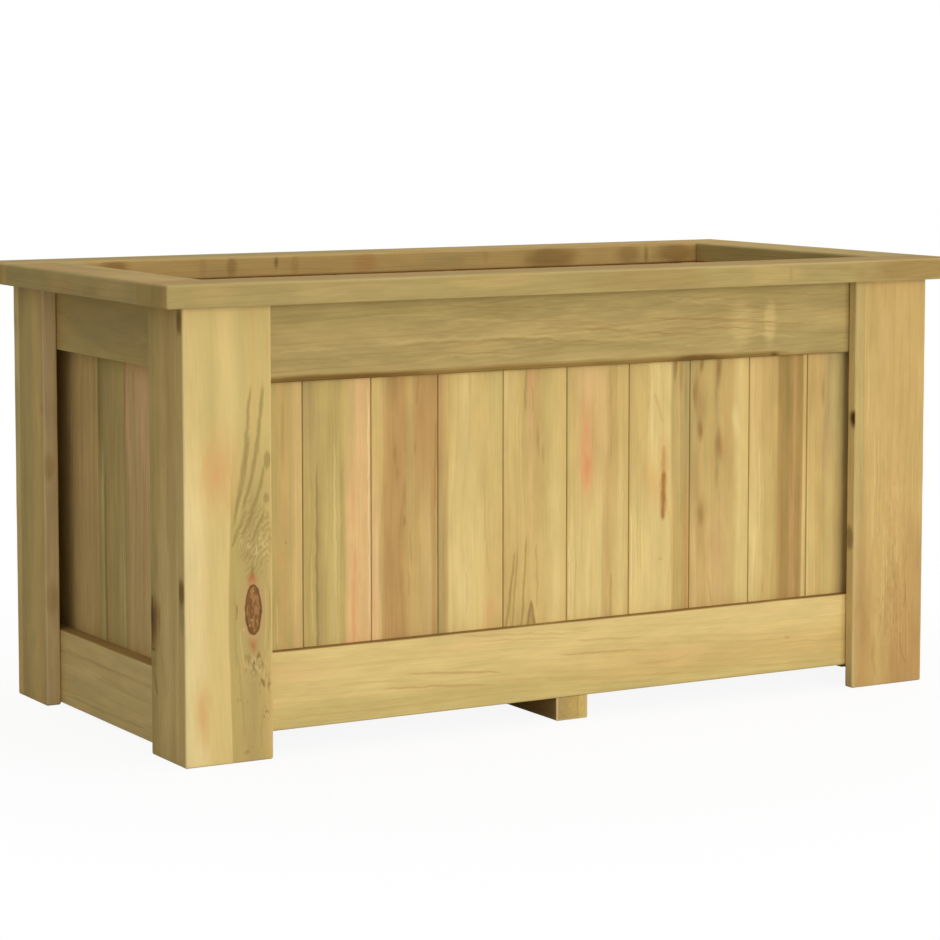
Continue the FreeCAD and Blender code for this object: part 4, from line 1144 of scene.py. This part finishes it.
def slatProfile(left, right, half, groove, tongue, s):
    # section seen from above, outer face at -half: quarter circles at its corners, a tongue on the right
    # and a groove on the left
    edge, back, width = s["softEdge"], s["backArris"], s["tongue"] / 2
    left, right = left + s["gap"], right - s["gap"]
    turn = np.radians(np.linspace(0, 90, s["arcSteps"] + 1))
    leftArc = np.stack([left + edge - edge * np.cos(turn), -half + edge - edge * np.sin(turn)], -1)
    rightArc = np.stack([right - edge + edge * np.sin(turn), -half + edge - edge * np.cos(turn)], -1)
    face = [[left + edge + s["support"], -half], [right - edge - s["support"], -half]]
    reach = right + s["gap"] + s["tongue"]
    slot = left - s["gap"] + s["grooveDepth"]
    room = width + s["clearance"]
    tongueSide = [[right, -width], [reach, -width], [reach, width], [right, width]] if tongue else []
    grooveSide = [[left, room], [slot, room], [slot, -room], [left, -room]] if groove else []
    behind = [[right, half - back], [right - back, half], [left + back, half], [left, half - back]]
    return np.array([*leftArc, *face, *rightArc, *tongueSide, *behind, *grooveSide])


def addSlat(node, side, first, last, look, s):
    # the section, turned by quarters to its side of the planter and carried from the slat's foot to its top
    low, high = (np.array(corner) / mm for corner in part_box(node))
    angle = s["quarters"][side] * math.pi / 2
    turn = np.array([[math.cos(angle), -math.sin(angle)], [math.sin(angle), math.cos(angle)]]).round()
    local = np.sort(np.array([low[:2], high[:2]]) @ turn, axis=0)  # the box, turned back to face the front
    right = local[1, 0] - (0.0 if last else s["tongue"])
    middle, half = local[:, 1].mean(), (local[1, 1] - local[0, 1]) / 2
    section = (slatProfile(local[0, 0], right, half, not first, not last, s) + [0, middle]) @ turn.T
    levels = np.array([low[2], high[2]])
    points = np.concatenate([np.broadcast_to(section, (2, *section.shape)),
                             np.broadcast_to(levels[:, None, None], (2, len(section), 1))], -1) * mm
    name = pieceName(node)
    material = pineMaterial(name + "Pine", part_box(node), s["axes"][side], {**s["finish"], **look})
    return addPiece(name, points.reshape(-1, 3), gridFaces(2, len(section)), material, node)


seed = slats["seed"]
for side, total in slats["counts"].items():
    for count in range(1, total + 1):
        node = f"slat_{side}_{count:02d}"
        look = lookFor(slats["looks"], node, slats["axes"][side], seed)
        addSlat(node, side, count == 1, count == total, look, slats)
        seed += 1
print("slats:", seed - slats["seed"])


weldSteps = 100  # corners of a solid are matched to a hundredth of a millimetre


def solidsOf(node):
    # loose solids of a node: corners at one place share a label, and the triangles spread the least label
    # until it settles
    mesh = nodes[node].data
    spots = np.empty(len(mesh.vertices) * 3)
    mesh.vertices.foreach_get("co", spots)
    spots = spots.reshape(-1, 3)
    corner = np.empty(len(mesh.loops), int)
    mesh.loops.foreach_get("vertex_index", corner)
    shared = np.unique((spots / mm * weldSteps).round().astype(int), axis=0, return_inverse=True)[1].ravel()
    triangles = shared[corner.reshape(-1, 3)]
    label = np.arange(shared.max() + 1)
    while True:
        settled = label.copy()
        np.minimum.at(label, triangles, label[triangles].min(axis=1)[:, None])
        label = label[label]
        if (settled == label).all():
            break
    index = np.unique(label[shared], return_inverse=True)[1].ravel()
    return [spots[index == k] for k in range(index.max() + 1)]


# floor: five boards with drainage gaps, one piece
floor = {"arris": 1.5, "slot": "floor_timber", "seed": 131, "axes": "yxz"}
floorAlong = axisIndex[floor["axes"][1]]
floorPoints, floorFaces = [], []
for seed, solid in enumerate(solidsOf("floor_boards"), floor["seed"]):
    grid = boardPoints(solid.min(axis=0), solid.max(axis=0), floorAlong, floor["arris"], seed)
    floorFaces += gridFaces(*grid.shape[:2], start=sum(len(p) for p in floorPoints))
    floorPoints.append(grid.reshape(-1, 3))
floorLook = lookFor({}, "floor_boards", floor["axes"], floor["seed"])
floorPine = pineMaterial("floorBoardsPine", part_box("floor_boards"), floor["axes"], floorLook)
addPiece("floorBoards", np.concatenate(floorPoints), floorFaces, floorPine, "floor_boards")
print("floor boards:", len(floorPoints))

# inner timbers keep their CAD shape and take a pine finish
inner = {
    "seed": 151,
    "axes": {"post_front_left": "xzy", "post_front_right": "xzy", "post_back_left": "xzy",
             "post_back_right": "xzy", "floor_ledger_left": "xyz", "floor_ledger_right": "xyz",
             "centre_bearer": "xyz", "rim_dowels": "xzy"},
    "looks": {
        "centre_bearer": {
            "bands": [
                (-20, "sedge"), (-17, "grey"), (-8, "grey"), (0, "khaki"), (6.5, "khaki"), (8, "oliveTan"),
                (9, "sedge"), (20, "sedge")],
            "pith": (-2, 16), "spacing": 5.0, "ringDepth": 0.45, "drift": 3.0, "wander": 1.0,
            # the side facing -x darkens to umber: painted shade on the bearer's side under the planter
            "edgeTones": [(-1, "umber", 0.9)]},
    },
}
for seed, (node, axes) in enumerate(inner["axes"].items(), inner["seed"]):
    look = lookFor(inner["looks"], node, axes, seed)
    nodes[node].data.materials.clear()
    nodes[node].data.materials.append(pineMaterial(pieceName(node) + "Pine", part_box(node), axes, look))
print("inner timbers:", len(inner["axes"]))


# screws: a profile turned round its axis, with a six-lobed socket in the head;
# its rows are (depth, radius, 1 where lobed) in head radii: first from the socket's floor over the head
# to the shank, then with depths counted from the point
screws = {
    "nodes": ("frame_screws", "slat_screws", "floor_screws"), "slot": "screw_steel", "around": 24, "lobes": 6,
    "lobeDepth": 0.16, "leastRadius": 0.01, "wideShare": 0.9,
    "head": [
        (0.6, 0.0, 0), (0.6, 0.36, 1), (0.05, 0.42, 1), (0.0, 0.48, 1), (0.0, 0.9, 0), (0.08, 1.0, 0),
        (0.2, 1.0, 0), (0.75, 0.5, 0)],
    "point": [(-1.4, 0.47, 0), (0.0, 0.04, 0)], "steel": (0.62, 0.58, 0.48, 1.0),
    "tarnish": (0.36, 0.31, 0.22, 1.0), "cloud": ((0.35, 0.35, 0.35), 3.0), "tarnishRange": (0.4, 0.7),
    "roughRange": (0.3, 0.7, 0.28, 0.5),
}


def screwSteel(s):
    # one cloud of noise mixes steel with tarnish and dulls it
    material = bpy.data.materials.new("passivatedSteel")
    material.use_nodes = True
    tree = material.node_tree
    shader = tree.nodes["Principled BSDF"].inputs
    place = scaledBy(tree, tree.nodes.new("ShaderNodeTexCoord").outputs["Object"], 1 / mm)
    cloud = noise(tree, place, *s["cloud"])
    dull = smooth(tree, cloud, *s["tarnishRange"])
    tree.links.new(mixColour(tree, dull, s["steel"], s["tarnish"]), shader["Base Color"])
    tree.links.new(smooth(tree, cloud, *s["roughRange"]), shader["Roughness"])
    shader["Metallic"].default_value = 1.0
    return material


def addScrews(node, steel, s):
    # each solid's longest side is its axis, and its head is at the end where its corners are widest;
    # point = start + frame of the screw times (depth, radius * cos, radius * sin)
    solids = solidsOf(node)
    low = np.array([solid.min(axis=0) for solid in solids])
    high = np.array([solid.max(axis=0) for solid in solids])
    axis = (high - low).argmax(axis=1)
    rows = np.arange(len(solids))
    length = (high - low)[rows, axis]
    middle = (low + high) / 2
    across = (axis + 1) % 3
    headRadius = (high - low)[rows, across] / 2
    wide = [np.abs(solid[:, c] - m[c]) > s["wideShare"] * r
            for solid, c, m, r in zip(solids, across, middle, headRadius)]
    headSide = np.array([np.sign(solid[w, a].mean() - m[a])
                         for solid, w, a, m in zip(solids, wide, axis, middle)])
    head, long = headRadius[0], length[0]
    size = [head, head, 1]
    profile = np.concatenate([np.array(s["head"]) * size, np.array(s["point"]) * size + [long, 0, 0]])
    angle = np.linspace(0, 2 * np.pi, s["around"], endpoint=False)
    lobe = 1 - s["lobeDepth"] * profile[:, 2:3] * (0.5 - 0.5 * np.cos(s["lobes"] * angle))
    radius = np.maximum(profile[:, 1:2], head * s["leastRadius"]) * lobe
    depth = np.broadcast_to(profile[:, 0:1], radius.shape)
    grid = np.stack([depth, radius * np.cos(angle), radius * np.sin(angle)], -1)
    frames = np.zeros((len(solids), 3, 3))
    frames[rows, 0, axis] = -headSide
    frames[rows, 1, across] = 1.0
    frames[rows, 2, (axis + 2) % 3] = -headSide
    start = middle.copy()
    start[rows, axis] += headSide * length / 2
    points = np.einsum("vuk,skw->svuw", grid, frames) + start[:, None, None, :]
    faces = [face for k in range(len(solids))
             for face in gridFaces(len(profile), s["around"], k * depth.size)]
    return addPiece(pieceName(node), points.reshape(-1, 3), faces, steel, node)


steel = screwSteel(screws)
for node in screws["nodes"]:
    addScrews(node, steel, screws)
print("screw groups:", len(screws["nodes"]))

# stage: a white floor that keeps a faint shadow, a white world, a broad front light,
# and softer ones overhead and behind
stage = {
    "floorHalf": 6.0, "floorShade": 0.5, "shadowShare": 0.09, "shadowReach": (0.45, 1.1), "ambient": 0.55,
    "white": (1, 1, 1, 1),
    "lights": {
        "frontSoftbox": {"place": (0.55, -2.9, 0.66), "aim": (0.0, 0.0, 0.28), "size": (2.4, 1.2),
                         "power": 51.0},
        "overheadSoftbox": {"place": (0.15, -0.2, 2.6), "aim": (0.0, 0.0, 0.3), "size": (2.2, 2.0),
                            "power": 8.5},
        "rearSoftbox": {"place": (1.7, 2.6, 0.95), "aim": (0.0, 0.0, 0.28), "size": (2.2, 1.2), "power": 38.0,
                        "glare": False},
    },
}


def seenRays(tree):
    # 1 for rays that show the background itself: camera, glossy and transmission
    ray = tree.nodes.new("ShaderNodeLightPath").outputs
    seen = calc(tree, "MAXIMUM", ray["Is Camera Ray"], ray["Is Glossy Ray"])
    return calc(tree, "MAXIMUM", seen, ray["Is Transmission Ray"])


def makeFloor(s):
    # seen directly it is white, with the matt share that shows the shadow fading out between two distances
    half = s["floorHalf"]
    mesh = bpy.data.meshes.new("studioFloor")
    corners = [(-half, -half, 0), (half, -half, 0), (half, half, 0), (-half, half, 0)]
    mesh.from_pydata(corners, [], [(0, 1, 2, 3)])
    ground = bpy.data.objects.new("studioFloor", mesh)
    bpy.context.scene.collection.objects.link(ground)
    material, tree = newMaterial("whiteFloor")
    seen = seenRays(tree)
    shade = calc(tree, "MULTIPLY_ADD", seen, 1 - s["floorShade"], s["floorShade"])
    matt = addNode(tree, "ShaderNodeBsdfDiffuse", {"Color": shade}).outputs[0]
    white = addNode(tree, "ShaderNodeEmission", {"Color": s["white"], "Strength": 1.0}).outputs[0]
    away = vectorLength(tree, tree.nodes.new("ShaderNodeTexCoord").outputs["Object"])
    share = calc(tree, "MULTIPLY", seen, smooth(tree, away, *s["shadowReach"], 1 - s["shadowShare"], 1.0))
    mixed = addNode(tree, "ShaderNodeMixShader", (share, matt, white)).outputs[0]
    tree.links.new(mixed, tree.nodes.new("ShaderNodeOutputMaterial").inputs["Surface"])
    mesh.materials.append(material)


def makeWorld(s):
    # white where it is seen directly, and the ambient strength as light on the planter
    world = bpy.data.worlds.new("whiteStudio")
    world.use_nodes = True
    tree = world.node_tree
    sky = tree.nodes["Background"].inputs
    sky["Color"].default_value = s["white"]
    strength = calc(tree, "MULTIPLY_ADD", seenRays(tree), 1 - s["ambient"], s["ambient"])
    tree.links.new(strength, sky["Strength"])
    bpy.context.scene.world = world


def addLights(s):
    # each light looks from its place to its aim: tilt from straight down, then turn about the upright
    for name, light in s["lights"].items():
        lamp = bpy.data.lights.new(name, "AREA")
        lamp.shape = "RECTANGLE"
        lamp.size, lamp.size_y = light["size"]
        lamp.energy = light["power"]
        source = bpy.data.objects.new(name, lamp)
        bpy.context.scene.collection.objects.link(source)
        source.location = light["place"]
        source.visible_glossy = light.get("glare", True)
        toward = np.subtract(light["aim"], light["place"])
        tilt = math.atan2(math.hypot(toward[0], toward[1]), -toward[2])
        source.rotation_euler = (tilt, 0.0, math.atan2(toward[1], toward[0]) - math.pi / 2)


makeFloor(stage)
makeWorld(stage)
addLights(stage)
print("stage: floor, world and", len(stage["lights"]), "lights")

# camera: the photograph's angle, with the small lens shift that keeps its uprights nearly parallel
view = {"focal": 3067.29, "frame": 940, "sensor": 36.0, "yaw": 30.0863, "down": 5.3955, "shift": -0.1,
        "place": (-1.7623, -3.0310, 0.69294), "farClip": 100.0}
camera = bpy.data.cameras.new("photoCamera")
camera.sensor_width = view["sensor"]
camera.lens = view["focal"] * view["sensor"] / view["frame"]
camera.shift_y = view["shift"]
camera.clip_end = view["farClip"]
viewer = bpy.data.objects.new("photoCamera", camera)
bpy.context.scene.collection.objects.link(viewer)
viewer.location = view["place"]
viewer.rotation_euler = (math.radians(90 - view["down"]), 0.0, math.radians(-view["yaw"]))
bpy.context.scene.camera = viewer
bpy.context.scene.view_settings.view_transform = "Standard"
print("camera ready")
